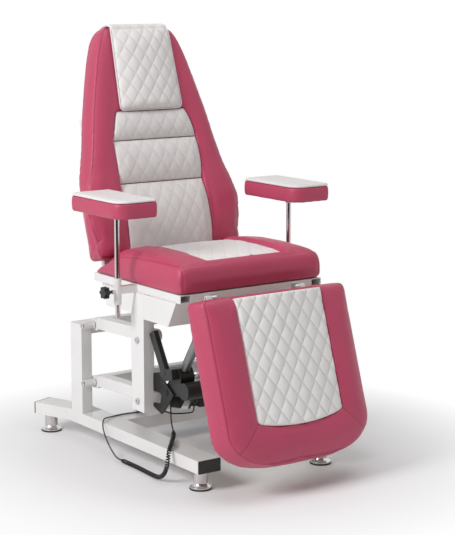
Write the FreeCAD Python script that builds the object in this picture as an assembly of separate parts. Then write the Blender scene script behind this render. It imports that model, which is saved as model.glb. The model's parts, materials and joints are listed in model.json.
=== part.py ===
import FreeCAD, Part
import math
import os

os.makedirs("parts", exist_ok=True)

# Podiatry chair with a parallel link lift, a reclining back and a swinging leg rest.
# Millimetres, front toward -Y, up +Z, floor at zero. The chair is built with the middle of its
# base at zero, and each piece is then shifted so that the middle of the whole chair is there.
origin_shift_y = 89.945

# Base frame
rail_out_x = 272.0
rail_w = 80.0
rail_h = 40.0
rail_z = 62.0
rail_front_y = -466.0
rail_bend_y = 295.0
splay_deg = 20.5
splay_len = 152.0
tube_wall = 2.5
cap_t = 4.0
cap_plug = 18.0
cap_gap = 0.2
cap_round = 3.0
cross_y0 = 61.0
cross_y1 = 141.0

foot_in = 45.0
foot_rear_in = 36.0
foot_stem_r = 22.0
foot_bell_r = 33.0
foot_rim_r = 34.5
foot_rim_h = 5.0
foot_bell_h = 15.0
foot_neck_h = 9.0
foot_round = 4.0
rim_round = 1.5

post_w = 38.0
rear_post_y0 = 211.0
rear_post_y1 = 281.0
rear_post_top = 403.0
top_bar_h = 37.0
top_bar_y0 = 225.5

# Parallel links
rear_pivot_y = 198.0
front_pivot_y = -134.0
low_rear_z = 207.0
low_front_z = 219.0
link_pitch = 195.0
bush_r = 12.0
bush_over = 0.5
bolt_r = 6.0
pin_gap = 0.2
bolt_head_r = 9.5
bolt_head_h = 6.0
link_tube = 38.0
link_out_x = 230.0
link_lift = 6.0
link_wall = 2.5
link_nose = 19.0
link_front_over = 17.0
link_corner_r = 3.0
bore_run = 4.0
open_pivot_gap = 0.6

# Lifting carriage
front_post_y0 = -170.0
front_post_y1 = -98.0
front_post_z0 = 187.0
post_mitre_z = 485.0
post_mitre_in = 22.0
carr_bar_z0 = 187.0
carr_bar_z1 = 247.0
bar_notch_x = -190.5

seat_out_x = 268.0
seat_rail_w = 40.0
seat_rail_z0 = 565.0
seat_rail_z1 = 590.0
seat_front_y = -369.0
seat_rear_y = 128.0
rear_rail_y0 = 40.0
rear_rail_y1 = 80.0
sheet_t = 3.0
plate_round = 12.0
side_plate_z0 = 486.0
side_plate_top_y = -352.0
side_plate_low_y = -308.0
rear_plate_x = 246.0
rear_plate_top_y = 122.0
rear_plate_low_y = 92.0
drive_rail_y0 = -262.0
drive_rail_y1 = -232.0
drive_rail_z0 = 500.0
drive_rail_z1 = 530.0

# Seat cushion
board_t = 11.0
seat_board_y0 = -352.0
seat_board_y1 = 106.0
seat_cut_z = 760.0
board_in = 14.0
soft_gap = 0.4
soft_span = 400.0
seat_bulge = 9.0
# rows of the seat cushion: y, half width, underside z, seam z, crest z
seat_rows = (
    (-373.0, 252.0, 606.0, 640.0, 646.0),
    (-367.0, 262.0, 593.0, 661.0, 667.0),
    (-352.0, 266.0, 590.4, 669.0, 684.0),
    (-310.0, 267.0, 590.4, 669.0, 695.0),
    (-220.0, 267.0, 590.4, 668.0, 701.0),
    (-110.0, 266.0, 590.4, 665.0, 701.0),
    (-20.0, 265.0, 590.4, 657.0, 692.0),
    (26.0, 264.0, 590.4, 646.0, 674.0),
    (62.0, 263.0, 590.4, 628.0, 641.0),
    (98.0, 262.0, 590.4, 612.0, 621.0),
    (120.0, 260.0, 590.4, 598.0, 602.0),
)
# rows of the sunk white centre of the seat: y, top z
seat_panel_rows = (
    (-337.0, 666.0),
    (-318.0, 676.0),
    (-270.0, 683.0),
    (-180.0, 687.0),
    (-90.0, 687.0),
    (-20.0, 681.0),
    (16.0, 671.0),
    (60.0, 642.0),
)
seat_panel_w = 160.0
seat_panel_depth = 9.0
seat_panel_crown = 3.0
panel_gap = 0.4
row_step = 34.0
shoulder_share = 0.13
shoulder_rise_share = 0.82
knee_rise_share = 0.6
knee_in_share = 0.42

# Back rest, in its own frame: v up the face, n out of the face
back_y = 84.0
back_z = 668.0
back_tilt_deg = 15.65
back_thick = 76.0
back_v0 = -30.0
back_rows = (
    (-30.0, 262.0, -66.0, -14.0, -10.0),
    (-22.0, 274.0, -75.6, -3.0, 3.0),
    (20.0, 284.0, -75.6, 0.0, 12.0),
    (80.0, 297.0, -75.6, 2.0, 20.0),
    (140.0, 302.0, -75.6, 2.0, 20.0),
    (200.0, 287.0, -75.6, 0.0, 15.0),
    (260.0, 264.0, -75.6, 0.0, 10.0),
    (340.0, 244.0, -75.6, 0.0, 9.0),
    (440.0, 224.0, -75.6, 0.0, 8.0),
    (540.0, 199.0, -75.6, 0.0, 7.0),
    (620.0, 177.0, -75.6, 0.0, 6.0),
    (668.0, 160.0, -75.6, -1.0, 4.0),
    (704.0, 143.0, -74.0, -5.0, -1.0),
    (724.0, 125.0, -66.0, -14.0, -11.0),
    (732.0, 106.0, -52.0, -28.0, -26.0),
)
back_bulge = 5.0
back_rear_w = 270.0
panel_w = 162.0
panel_depth = 12.0
back_board_n0 = -76.0
back_board_n1 = -65.0
back_board_v0 = -14.0
back_board_v1 = 690.0
panel_taper_v = 349.0
panel_top_v = 446.5
panel_top_w = 134.0
roll_side_n = 2.0
# sewn rolls of the back rest: lower v, upper v, half width low, half width high, height
roll_rows = (
    (-26.0, 206.0, 161.0, 161.0, 36.0),
    (208.0, 348.0, 161.0, 161.0, 22.0),
    (350.0, 446.0, 161.0, 133.0, 18.0),
)
roll_end_share = 0.55
roll_mid_share = 0.86
roll_shoulder = 0.8
# rows of the head pillow: v, half width, underside n, edge n, crest n
pillow_rows = (
    (448.0, 108.0, 2.9, 9.0, 13.0),
    (456.0, 115.0, 2.9, 12.0, 25.0),
    (490.0, 118.0, 2.9, 14.0, 33.0),
    (590.0, 119.0, 2.9, 14.0, 35.0),
    (676.0, 118.0, 2.9, 14.0, 33.0),
    (706.0, 114.0, 2.9, 12.0, 24.0),
    (716.0, 108.0, 2.9, 9.0, 13.0),
)
pillow_bulge = 2.0
pillow_seat_n = 2.5
pillow_seat_v0 = 447.0
pillow_seat_v1 = 700.0
pillow_seat_w = 122.0
flap_w = 110.0
flap_v0 = 716.4
flap_low_v = 640.0
# inner and outer line of the flap that hangs over the top of the back rest: v, n
flap_inner = ((716.4, 3.2), (725.0, 3.0), (735.6, -37.0), (725.0, -77.2))
flap_outer = ((716.4, 9.0), (727.0, 9.0), (742.0, -37.0), (727.0, -83.2))
flap_rear_inner_n = -76.4
flap_rear_outer_n = -83.2

# Back frame and hinge
back_hinge_v = -64.0
back_hinge_n = -86.0
upright_x0 = 188.0
upright_x1 = 218.0
upright_t = 20.0
upright_top_v = 440.0
upright_low_v = -80.0
back_bar_v = 380.0
back_bar_h = 30.0
ear_x0 = 222.0
ear_x1 = 228.0
ear_y = 98.0
ear_z = 574.0
ear_r0 = 9.0
ear_r1 = 13.0
hinge_pin_r = 6.0
lever_r = 15.0
shaft_r = 10.0
pin_end = 4.0
back_lug_y = 31.0
back_lug_z = -54.0
back_lug_r = 18.0
back_recline_deg = 70.0

# Leg rest, in its own frame: v up the face, n out of the face
leg_y = -491.0
leg_z = 581.0
leg_hang_deg = 72.0
leg_thick = 85.0
# rows of the leg cushion: v, half width, rear n, seam n, crest n
leg_rows = (
    (17.0, 256.0, -62.0, -16.0, -12.0),
    (10.0, 264.0, -74.6, -4.0, 3.0),
    (-20.0, 266.0, -74.6, 0.0, 16.0),
    (-110.0, 266.0, -74.6, 0.0, 19.0),
    (-250.0, 266.0, -74.6, 0.0, 19.0),
    (-380.0, 266.0, -74.6, 0.0, 19.0),
    (-418.0, 260.0, -74.6, 0.0, 18.0),
    (-450.0, 237.0, -74.6, 0.0, 16.0),
    (-474.0, 205.0, -74.6, 0.0, 12.0),
    (-490.0, 164.0, -74.6, -2.0, 5.0),
    (-500.0, 118.0, -66.0, -12.0, -8.0),
    (-504.0, 86.0, -52.0, -24.0, -21.0),
)
leg_bulge = 8.0
leg_flare = 16.0
leg_board_n0 = -85.0
leg_board_n1 = -75.0
leg_panel_v0 = -391.0
leg_panel_bow = 20.0
leg_panel_v1 = 8.0
leg_panel_w = 161.0
leg_panel_floor = -6.0
leg_panel_side = 14.0
leg_panel_crest = 23.0
leg_panel_round = 14.0
leg_hinge_y = -385.0
leg_hinge_z = 576.0
leg_arm_x0 = 148.0
leg_arm_x1 = 188.0
leg_arm_t = 5.0
knuckle_r = 8.0
knuckle_x0 = 150.0
knuckle_w = 18.0
knuckle_gap = 0.6
knuckle_pin_r = 4.0
leg_arm_top_v = 4.0
gusset_low_v = -40.0
leg_board_v0 = -484.0
leg_board_v1 = 4.0
lug_foot_w = 23.0
lug_foot_v = 34.0
lug_window_v = 26.0
leg_strap_v = -300.0
leg_lug_v = -36.0
leg_lug_n = -103.0
leg_lug_r = 17.8

# Arm rests
arm_x = 332.0
arm_y = -117.0
arm_rod_r = 8.0
arm_rod_z0 = 490.0
clamp_r = 12.0
clamp_z0 = 532.0
clamp_z1 = 614.0
clamp_bar_z0 = 565.2
clamp_bar_z1 = 588.0
clamp_bar_w = 24.0
arm_pad_y = -101.0
arm_pad_len = 285.0
arm_pad_w = 145.0
arm_pad_z0 = 812.0
arm_pad_z1 = 872.0
arm_pad_crown = 3.0
arm_front_r = 46.0
arm_corner_r = 16.0
arm_board_t = 12.0
arm_plate_t = 4.0
arm_plate_w = 70.0
arm_plate_len = 110.0
arm_socket_r = 12.0
arm_socket_h = 10.0
knob_z = 573.0
knob_r = 19.5
knob_t = 18.0
knob_lobes = 6
knob_lobe_r = 5.0
knob_out = 46.0
knob_stem_r = 4.0
boss_r = 7.0
boss_len = 9.0
knob_round = 2.0
knob_neck = 8.0
knob_tip_gap = 0.3
pad_edge = 4.0
arm_band_z1 = 860.0
arm_board_in = 16.0

# Drives
lift_x = 45.0
lift_base_y = 132.0
lift_base_z = 140.0
lift_top_y = -76.0
lift_top_z = 250.0
lift_hole_r = 12.4
lift_angle_deg = 150.444
lift_reach = 235.08
leg_drive_x = -205.0
leg_base_y = -245.0
leg_base_z = 263.0
leg_hole_r = 12.7
leg_angle_deg = 123.653
leg_reach = 297.33
back_base_y = -215.0
back_base_z = 514.0
back_hole_r = 12.2
back_angle_deg = 1.263
back_reach = 395.17
drive_tube_r = 15.0
drive_rod_r = 9.0
drive_pin_r = 5.0
lift_housing_l = 96.0
lift_housing_w = 62.0
lift_housing_h = 58.0
lift_motor_r = 24.0
lift_motor_l = 84.0
lift_tube_l = 200.0
leg_tube_l = 232.0
back_tube_l = 262.0
back_housing_l = 84.0
back_housing_w = 54.0
back_housing_h = 46.0
back_motor_r = 19.0
back_motor_l = 74.0
eye_half = 7.4
eye_flat_l = 30.0
washer_r = 15.5
washer_t = 2.5
leg_washer_r = 9.5
running_gap = 0.08
fork_r = 9.0
lug_t = 6.0
lug_gap = 0.4
lift_lug_r = 18.0
rod_bore_gap = 0.3
house_z0 = 16.0
house_floor = 4.0
motor_sink = 0.8
guide_l = 12.0
guide_t = 2.0
rod_inner = 24.0
lug_foot = 12.0
column_x0 = -257.0
column_w = 21.0
column_y = -246.0
column_z = 316.0
column_lean_deg = 30.3
column_d = 29.0
column_round = 5.0
column_tip = 9.0
column_l = 142.0
drum_r = 27.0
drum_y = -336.0
drum_z = 284.0
drum_x0 = -236.0
drum_x1 = -166.0
cheek_x = -238.0
cheek_in_x = -176.0
cheek_t = 4.0
cheek_points = ((-170.0, 312.0), (-201.0, 319.0), (-283.0, 263.0), (-231.0, 200.0), (-216.0, 188.0),
                (-170.0, 205.0), (-170.0, 216.0), (-209.0, 221.0), (-217.0, 249.0), (-209.0, 255.0),
                (-170.0, 255.0))
inner_cheek_points = ((-170.0, 245.0), (-201.0, 290.0), (-262.0, 282.0), (-266.0, 250.0), (-226.0, 200.0),
                      (-170.0, 192.0))
housing_points = ((-231.0, 250.0), (-222.0, 268.0), (-262.0, 318.0), (-262.0, 343.0), (-300.0, 349.0),
                  (-316.0, 322.0), (-306.0, 262.0))
housing_x0 = -231.0
housing_x1 = -180.0
housing_end_s = 98.0
leg_rod_inner = 112.0
back_rod_inner = 150.0
rail_lug_foot = 13.0
housing_round = 5.0
saddle_points = ((-262.0, 305.0), (-231.0, 322.0), (-248.0, 343.0), (-300.0, 349.0), (-306.0, 318.0))
saddle_x0 = -256.0

control_x0 = -100.0
control_x1 = -8.0
control_y0 = -222.0
control_z0 = 190.0
control_z1 = 246.0
control_round = 5.0
rib_rise = 2.0
rib_in = 14.0
socket_x = -195.0
socket_y = -203.0
socket_half = 8.0
socket_z0 = 222.0
socket_z1 = 243.0
relief_r0 = 5.0
relief_r1 = 3.2
relief_l = 14.0

# Handset and its holder
handset_x = -95.0
handset_y = 110.0
handset_z0 = 124.0
handset_h = 152.0
handset_w = 52.0
handset_d = 22.0
handset_round = 6.0
holder_y = 130.0
holder_t = 3.0
holder_w = 40.0
holder_top = 250.0
holder_foot = 9.0
clip_t = 3.0
clip_gap = 0.6
clip_h = 34.0
clip_w = 24.0
button_gap = 0.4
key_count = 3
key_top_z = 232.0
key_pitch = 30.0
key_w = 24.0
key_h = 22.0
key_rise = 1.4
key_deep = 4.0
key_round = 3.0
key_dish_r = 60.0
key_dish = 0.8
key_pin_r = 1.0
key_pin_in = 1.4
key_pin_gap = 0.1
gland_l = 8.0

# Cords
cord_r = 2.5
curl_wire_r = 2.1
curl_out_r = 7.3
curl_turns = 62
curl_lead = 6.0
curl_sides = 6
curl_steps = 4
curl_fade = 4
curl_fade_stretch = 2.2
bend_share = 0.45
# thin cord from the control box down to the rail
drop_points = ((-195.0, -203.0, 207.7), (-195.0, -203.0, 176.0), (-194.484, -205.742, 150.0),
               (-195.0, -214.0, 134.0))
# middle line of the curly stretch over the rail, down to the floor and back along the rail
curl_points = ((-195.0, -214.0, 134.0), (-195.5, -222.0, 118.5), (-230.0, -262.0, 111.0),
               (-260.0, -304.0, 118.0), (-285.0, -331.0, 112.0), (-297.0, -341.0, 88.0),
               (-299.0, -337.0, 58.0), (-297.0, -318.0, 29.0), (-293.0, -284.0, 10.5),
               (-289.0, -240.0, 7.7), (-286.0, -190.0, 7.7), (-283.0, -138.0, 7.7),
               (-283.0, -88.0, 7.7), (-285.0, -45.0, 9.0))
# thin cord from the floor over the rail to the handset
rise_points = ((-285.0, -45.0, 9.0), (-286.07, -22.0, 9.695), (-288.0, 8.0, 32.0),
               (-290.0, 36.0, 62.0), (-288.0, 58.0, 95.0), (-270.0, 82.0, 113.0),
               (-240.0, 103.0, 108.0), (-204.0, 117.0, 104.9), (-168.0, 121.0, 104.9),
               (-134.0, 116.0, 104.9), (-110.0, 111.0, 105.4), (-98.0, 110.0, 108.6),
               (-95.2, 110.0, 114.7))
# leads of the motors, from the control box to the leg rest drive and its cheek plate
lead_r = 2.2
lead_points = (
    ((-100.0, -200.0, 206.0), (-112.0, -200.0, 206.0), (-126.0, -208.0, 190.0), (-148.0, -232.0, 196.0),
     (-161.0, -266.0, 226.0), (-178.0, -292.0, 244.0), (-200.0, -322.0, 254.0)),
    ((-100.0, -214.0, 224.0), (-112.0, -214.0, 224.0), (-128.0, -230.0, 213.0), (-146.0, -256.0, 222.0),
     (-158.0, -284.0, 240.0), (-172.0, -304.0, 248.0), (-184.0, -320.0, 254.0)),
    ((-100.0, -204.0, 215.0), (-112.0, -204.0, 215.0), (-124.0, -219.0, 198.0), (-138.0, -242.0, 206.0),
     (-144.0, -270.0, 226.0), (-156.0, -296.0, 244.0), (-166.0, -318.0, 252.5)),
    ((-234.0, -214.0, 195.0), (-224.0, -214.0, 195.0), (-206.0, -228.0, 188.0), (-178.0, -241.0, 187.0),
     (-150.0, -242.0, 185.0), (-124.0, -224.0, 180.0), (-112.0, -212.0, 197.0), (-100.0, -212.0, 197.0)),
)

X = FreeCAD.Vector(1, 0, 0)
Y = FreeCAD.Vector(0, 1, 0)
Z = FreeCAD.Vector(0, 0, 1)
half = 0.5


def vec(x, y, z):
    return FreeCAD.Vector(x, y, z)


def block(x0, x1, y0, y1, z0, z1):
    return Part.makeBox(x1 - x0, y1 - y0, z1 - z0, vec(x0, y0, z0))


def rod(point, direction, radius, length):
    return Part.makeCylinder(radius, length, point, direction)


def flip(shape):
    return shape.mirror(vec(0, 0, 0), X)


def face_of(points):
    return Part.Face(Part.makePolygon([vec(*p) for p in points] + [vec(*points[0])]))


def sheet_yz(points, x0, thick):
    """A plate with an outline in the YZ plane, from x0 toward +X."""
    return face_of([(x0, y, z) for y, z in points]).extrude(X * thick)


def stadium(x0, thick, first, r0, second, r1):
    """A lug plate in the YZ plane: two round ends joined by their tangents."""
    (y0, z0), (y1, z1) = first, second
    span = math.hypot(y1 - y0, z1 - z0)
    base = math.atan2(z1 - z0, y1 - y0)
    lean = math.acos((r0 - r1) / span)
    points = []
    for sign in (1, -1):
        angle = base + sign * lean
        points.append((y0 + r0 * math.cos(angle), z0 + r0 * math.sin(angle)))
        points.append((y1 + r1 * math.cos(angle), z1 + r1 * math.sin(angle)))
    web = sheet_yz([points[0], points[1], points[3], points[2]], x0, thick)
    ends = [rod(vec(x0, y0, z0), X, r0, thick), rod(vec(x0, y1, z1), X, r1, thick)]
    return web.fuse(ends).removeSplitter()


def box_tube(x0, x1, y0, y1, z0, z1, axis, wall=tube_wall):
    """A rectangular tube, open at both ends along the axis."""
    in_x = 0 if axis == "x" else wall
    in_y = 0 if axis == "y" else wall
    in_z = 0 if axis == "z" else wall
    outer = block(x0, x1, y0, y1, z0, z1)
    return outer.cut(block(x0 + in_x, x1 - in_x, y0 + in_y, y1 - in_y, z0 + in_z, z1 - in_z))


def soften(shape, edges, radius):
    """Rounds the chosen edges, or leaves the shape as it is if the rounding fails."""
    try:
        soft = shape.makeFillet(radius, edges)
        return soft if soft.isValid() and soft.Volume > 0 else shape
    except Exception:
        return shape


def along(shape, axis):
    """The straight edges that run along one axis."""
    picked = []
    for edge in shape.Edges:
        if isinstance(edge.Curve, Part.Line):
            way = edge.tangentAt(edge.FirstParameter)
            if abs(way.dot(axis)) > 0.999:
                picked.append(edge)
    return picked


def rounded_box(x0, x1, y0, y1, z0, z1, axis, radius):
    shape = block(x0, x1, y0, y1, z0, z1)
    return soften(shape, along(shape, axis), radius)


def save(name, shapes):
    if not isinstance(shapes, (list, tuple)):
        shapes = [shapes]
    solids = []
    for shape in shapes:
        solids.extend(shape.Solids)
    node = solids[0] if len(solids) == 1 else Part.makeCompound(solids)
    node = node.copy()
    node.translate(vec(0, origin_shift_y, 0))
    bad = [s for s in solids if not s.isValid() or s.Volume <= 0]
    print(name, len(solids), "solids", round(sum(s.Volume for s in solids)), "BAD" if bad else "")
    node.exportStep("parts/" + name + ".step")
    return node


def both(name, shape):
    """Saves the left piece and its mirrored right twin."""
    save(name + "_left", shape)
    save(name + "_right", flip(shape))


def wire_of(points):
    """A closed section: arcs through sets of three points, then the flat underside."""
    edges = [Part.Arc(vec(*a), vec(*b), vec(*c)).toShape() for a, b, c in points]
    edges.append(Part.LineSegment(vec(*points[-1][2]), vec(*points[0][0])).toShape())
    return Part.Wire(edges)


def cushion_wire(v, half_w, under, seam, crest, bulge, rear_w=None, flare=0.0):
    """One cross section of a cushion: drawn-in base, bulged sides, rounded shoulders, crown."""
    base_w = (half_w if rear_w is None else min(half_w, rear_w)) + flare
    shoulder = half_w * (1 - shoulder_share)
    rise = seam + (crest - seam) * shoulder_rise_share
    knee = seam + (rise - seam) * knee_rise_share
    knee_w = half_w * (1 - shoulder_share * knee_in_share)
    side_w = half * (base_w + half_w) + bulge
    side_z = half * (under + seam)
    rows = (((-base_w, v, under), (-side_w, v, side_z), (-half_w, v, seam)),
            ((-half_w, v, seam), (-knee_w, v, knee), (-shoulder, v, rise)),
            ((-shoulder, v, rise), (0, v, crest), (shoulder, v, rise)),
            ((shoulder, v, rise), (knee_w, v, knee), (half_w, v, seam)),
            ((half_w, v, seam), (side_w, v, side_z), (base_w, v, under)))
    return wire_of(rows)


def loft(wires):
    shape = Part.makeLoft(wires, True, False)
    if shape.Volume < 0:
        shape.reverse()
    return shape


def tilted(shape, y, z, tilt_deg):
    """Moves a shape from a cushion's own frame (v along +Y, n along +Z) onto the chair."""
    copy = shape.copy()
    copy.rotate(vec(0, 0, 0), X, 90 - tilt_deg)
    copy.translate(vec(0, y, z))
    return copy


def on_back(shape):
    # v leans toward +Y, n faces the sitter
    return tilted(shape, back_y, back_z, back_tilt_deg)


def on_leg(shape):
    return tilted(shape, leg_y, leg_z, 90 - leg_hang_deg)


def back_point(x, v, n):
    t = math.radians(back_tilt_deg)
    return vec(x, back_y + v * math.sin(t) - n * math.cos(t), back_z + v * math.cos(t) + n * math.sin(t))


def leg_point(x, v, n):
    t = math.radians(90 - leg_hang_deg)
    return vec(x, leg_y + v * math.sin(t) - n * math.cos(t), leg_z + v * math.cos(t) + n * math.sin(t))


# Base
splay = math.radians(splay_deg)
way_x, way_y = -math.sin(splay), math.cos(splay)
side_x, side_y = math.cos(splay), math.sin(splay)
tan_half = math.tan(splay * half)


def rail_outline(inset, reach):
    """Plan outline of a left rail: straight front length, then the splayed rear length."""
    out_x = -rail_out_x + inset
    in_x = -rail_out_x + rail_w - inset
    bend_out = rail_bend_y + inset * tan_half
    bend_in = rail_bend_y + (rail_w - inset) * tan_half
    end_x = -rail_out_x + way_x * (splay_len + reach)
    end_y = rail_bend_y + way_y * (splay_len + reach)
    front = rail_front_y - reach
    return [(out_x, front), (in_x, front), (in_x, bend_in),
            (end_x + side_x * (rail_w - inset), end_y + side_y * (rail_w - inset)),
            (end_x + side_x * inset, end_y + side_y * inset), (out_x, bend_out)]


def plan_prism(points, z0, z1):
    return face_of([(x, y, z0) for x, y in points]).extrude(Z * (z1 - z0))


rail_top = rail_z + rail_h
rail = plan_prism(rail_outline(0, 0), rail_z, rail_top)
bore = plan_prism(rail_outline(tube_wall, tube_wall), rail_z + tube_wall, rail_top - tube_wall)
both("base_rail", rail.cut(bore))
rail_in_x = rail_out_x - rail_w
cross_tube = box_tube(-rail_in_x, rail_in_x, cross_y0, cross_y1, rail_z, rail_top, "x")

cap_in = tube_wall + cap_gap
cap_x0, cap_x1 = -rail_out_x, -rail_in_x
plug = block(cap_x0 + cap_in, cap_x1 - cap_in, rail_front_y, rail_front_y + cap_plug, rail_z + cap_in,
             rail_top - cap_in)
flange = rounded_box(cap_x0, cap_x1, rail_front_y - cap_t, rail_front_y, rail_z, rail_top, Y, cap_round)
front_cap = flange.fuse(plug).removeSplitter()
rear_cap = front_cap.copy()
rear_cap.rotate(vec(-rail_out_x + rail_w * half, rail_front_y, rail_z), Z, 180)
rear_cap.translate(vec(0, rail_bend_y - rail_front_y, 0))
rear_cap.rotate(vec(-rail_out_x, rail_bend_y, rail_z), Z, splay_deg)
rear_cap.translate(vec(way_x * splay_len, way_y * splay_len, 0))
save("rail_end_caps", [front_cap, rear_cap, flip(front_cap), flip(rear_cap)])


def foot(x, y):
    """A turned levelling foot: bell base and broad stem."""
    low = vec(x + foot_bell_r, y, foot_rim_h + foot_round)
    neck = vec(x + foot_stem_r, y, foot_rim_h + foot_bell_h)
    middle = vec(x + foot_stem_r + foot_round, y, foot_rim_h + foot_neck_h)
    base = Part.makePolygon([vec(x, y, foot_rim_h), vec(x + foot_bell_r, y, foot_rim_h), low])
    top = Part.makePolygon([neck, vec(x + foot_stem_r, y, rail_z), vec(x, y, rail_z),
                            vec(x, y, foot_rim_h)])
    outline = Part.Wire(base.Edges + [Part.Arc(low, middle, neck).toShape()] + top.Edges)
    return Part.Face(outline).revolve(vec(x, y, 0), Z, 360)


foot_spots = [(-rail_out_x + rail_w * half, rail_front_y + foot_in),
              (-rail_out_x + way_x * (splay_len - foot_rear_in) + side_x * rail_w * half,
               rail_bend_y + way_y * (splay_len - foot_rear_in) + side_y * rail_w * half)]
feet = [foot(x, y) for x, y in foot_spots]
rims = []
for x, y in foot_spots:
    rim = rod(vec(x, y, 0), Z, foot_rim_r, foot_rim_h)
    rims.append(soften(rim, [e for e in rim.Edges if isinstance(e.Curve, Part.Circle)], rim_round))
save("foot_stems", feet + [flip(f) for f in feet])
save("foot_rims", rims + [flip(r) for r in rims])

post_in_x = -rail_out_x + post_w
post = box_tube(-rail_out_x, post_in_x, rear_post_y0, rear_post_y1, rail_top, rear_post_top, "z")
lid = block(-rail_out_x, post_in_x, rear_post_y0, rear_post_y1, rear_post_top - tube_wall, rear_post_top)
rear_post = post.fuse(lid)
save("rear_top_bar", box_tube(post_in_x, -post_in_x, top_bar_y0, rear_post_y1,
                              rear_post_top - top_bar_h, rear_post_top, "x"))


def bush(y, z):
    """A pivot bush welded to the front face of a rear post on a short saddle."""
    barrel = rod(vec(-rail_out_x, y, z), X, bush_r, post_w + bush_over)
    saddle = block(-rail_out_x, post_in_x, y, rear_post_y0, z - bush_r * half, z + bush_r * half)
    return barrel.fuse(saddle).cut(rod(vec(-rail_out_x, y, z), X, bolt_r, post_w + bush_over)).removeSplitter()


def pivot_bolt(y, z):
    """A shouldered bolt: head outside the post, shank into the bore of the link's side arm."""
    shank = rod(vec(-rail_out_x, y, z), X, bolt_r, post_w + link_front_over)
    head = rod(vec(-rail_out_x - bolt_head_h, y, z), X, bolt_head_r, bolt_head_h)
    socket = rod(vec(-rail_out_x - bolt_head_h, y, z), X, bolt_r * half, bolt_head_h * half)
    return shank.fuse(head).cut(socket).removeSplitter()


rear_pivots = [(rear_pivot_y, low_rear_z), (rear_pivot_y, low_rear_z + link_pitch)]
front_pivots = [(front_pivot_y, low_front_z), (front_pivot_y, low_front_z + link_pitch)]
both("rear_post", rear_post.fuse([bush(y, z) for y, z in rear_pivots]).removeSplitter())
rear_bolts = [pivot_bolt(y, z) for y, z in rear_pivots]
save("rear_pivot_bolts", rear_bolts + [flip(b) for b in rear_bolts])


# Parallel links
def link(rear, front, clearance):
    """Two side arms and a rear cross tube. The arms' noses have bores for the pivot bolts."""
    (y1, z1), (y0, z0) = rear, front
    x0, x1 = -link_out_x, -link_out_x + link_tube
    lean = math.degrees(math.atan2(z0 - z1, y1 - y0))
    span = math.hypot(y1 - y0, z1 - z0)
    r = link_tube * half
    arm = block(x0, x1, y1 - span, y1 - r, z1 - r + link_lift, z1 + r + link_lift)
    hollow = block(x0 + link_wall, x1 - link_wall, y1 - span + r, y1 - r, z1 - r + link_lift + link_wall,
                   z1 + r + link_lift - link_wall)
    nose = rod(vec(x0, y1 - span, z1 + link_lift), X, r, link_tube)
    arm = arm.fuse(nose).cut(hollow)
    cross = box_tube(x0, -x0, y1 - r, y1 + r, z1 - r, z1 + r, "x", link_wall)
    cross = soften(cross, [e for e in along(cross, X) if abs(e.BoundBox.YMin - y1) > r - link_wall * half
                           and abs(e.BoundBox.ZMin - z1) > r - link_wall * half], link_corner_r)
    ends = [block(x0, x0 + link_wall * 2, y1 - r + link_wall, y1 + r - link_wall, z1 - r + link_wall,
                  z1 + r - link_wall)]
    ends.append(flip(ends[0]))
    frame = arm.fuse([flip(arm), cross] + ends)
    for y, bore_r in ((y1, bolt_r + pin_gap), (y1 - span, bolt_r + clearance)):
        hole = rod(vec(x0 - 1, y, z1), X, bore_r, link_front_over + bore_run)
        frame = frame.cut([hole, flip(hole)])
    frame = frame.removeSplitter()
    frame.rotate(vec(0, y1, z1), X, -lean)
    return frame


save("lower_link", link(rear_pivots[0], front_pivots[0], pin_gap))
save("upper_link", link(rear_pivots[1], front_pivots[1], open_pivot_gap))

# Lifting carriage
side_in = -rail_out_x + post_w
front_post = box_tube(-rail_out_x, side_in, front_post_y0, front_post_y1, front_post_z0, seat_rail_z0, "z")
floor_plate = block(-rail_out_x, side_in, front_post_y0, front_post_y1, front_post_z0,
                    front_post_z0 + tube_wall)
mitre = face_of([(-rail_out_x - 1, front_post_y1 + 1, post_mitre_z),
                 (-rail_out_x - 1, front_post_y1 - post_mitre_in, seat_rail_z0 + 1),
                 (-rail_out_x - 1, front_post_y1 + 1, seat_rail_z0 + 1)]).extrude(X * (post_w + 2))
front_post = front_post.fuse(floor_plate).cut(mitre)
for y, z in front_pivots:
    front_post = front_post.cut(rod(vec(-rail_out_x - 1, y, z), X, bolt_r, post_w + 2))
both("front_post", front_post.removeSplitter())
front_bar = box_tube(side_in, -side_in, front_post_y0, front_post_y1, carr_bar_z0, carr_bar_z1, "x")
bar_notch = block(side_in, bar_notch_x, front_post_y0 + tube_wall, front_post_y1, carr_bar_z0,
                  carr_bar_z1 - tube_wall)
front_bar = front_bar.cut([bar_notch, flip(bar_notch)])
front_bolts = [pivot_bolt(y, z) for y, z in front_pivots]
save("front_pivot_bolts", front_bolts + [flip(b) for b in front_bolts])

rail_in = seat_out_x - seat_rail_w
side_rail = box_tube(-seat_out_x, -rail_in, seat_front_y, seat_rear_y, seat_rail_z0, seat_rail_z1, "y")
cross_rails = [box_tube(-rail_in, rail_in, y0, y1, seat_rail_z0, seat_rail_z1, "x")
               for y0, y1 in ((seat_front_y, seat_front_y + seat_rail_w), (rear_rail_y0, rear_rail_y1))]
save("seat_frame", side_rail.fuse([flip(side_rail)] + cross_rails).removeSplitter())

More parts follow.
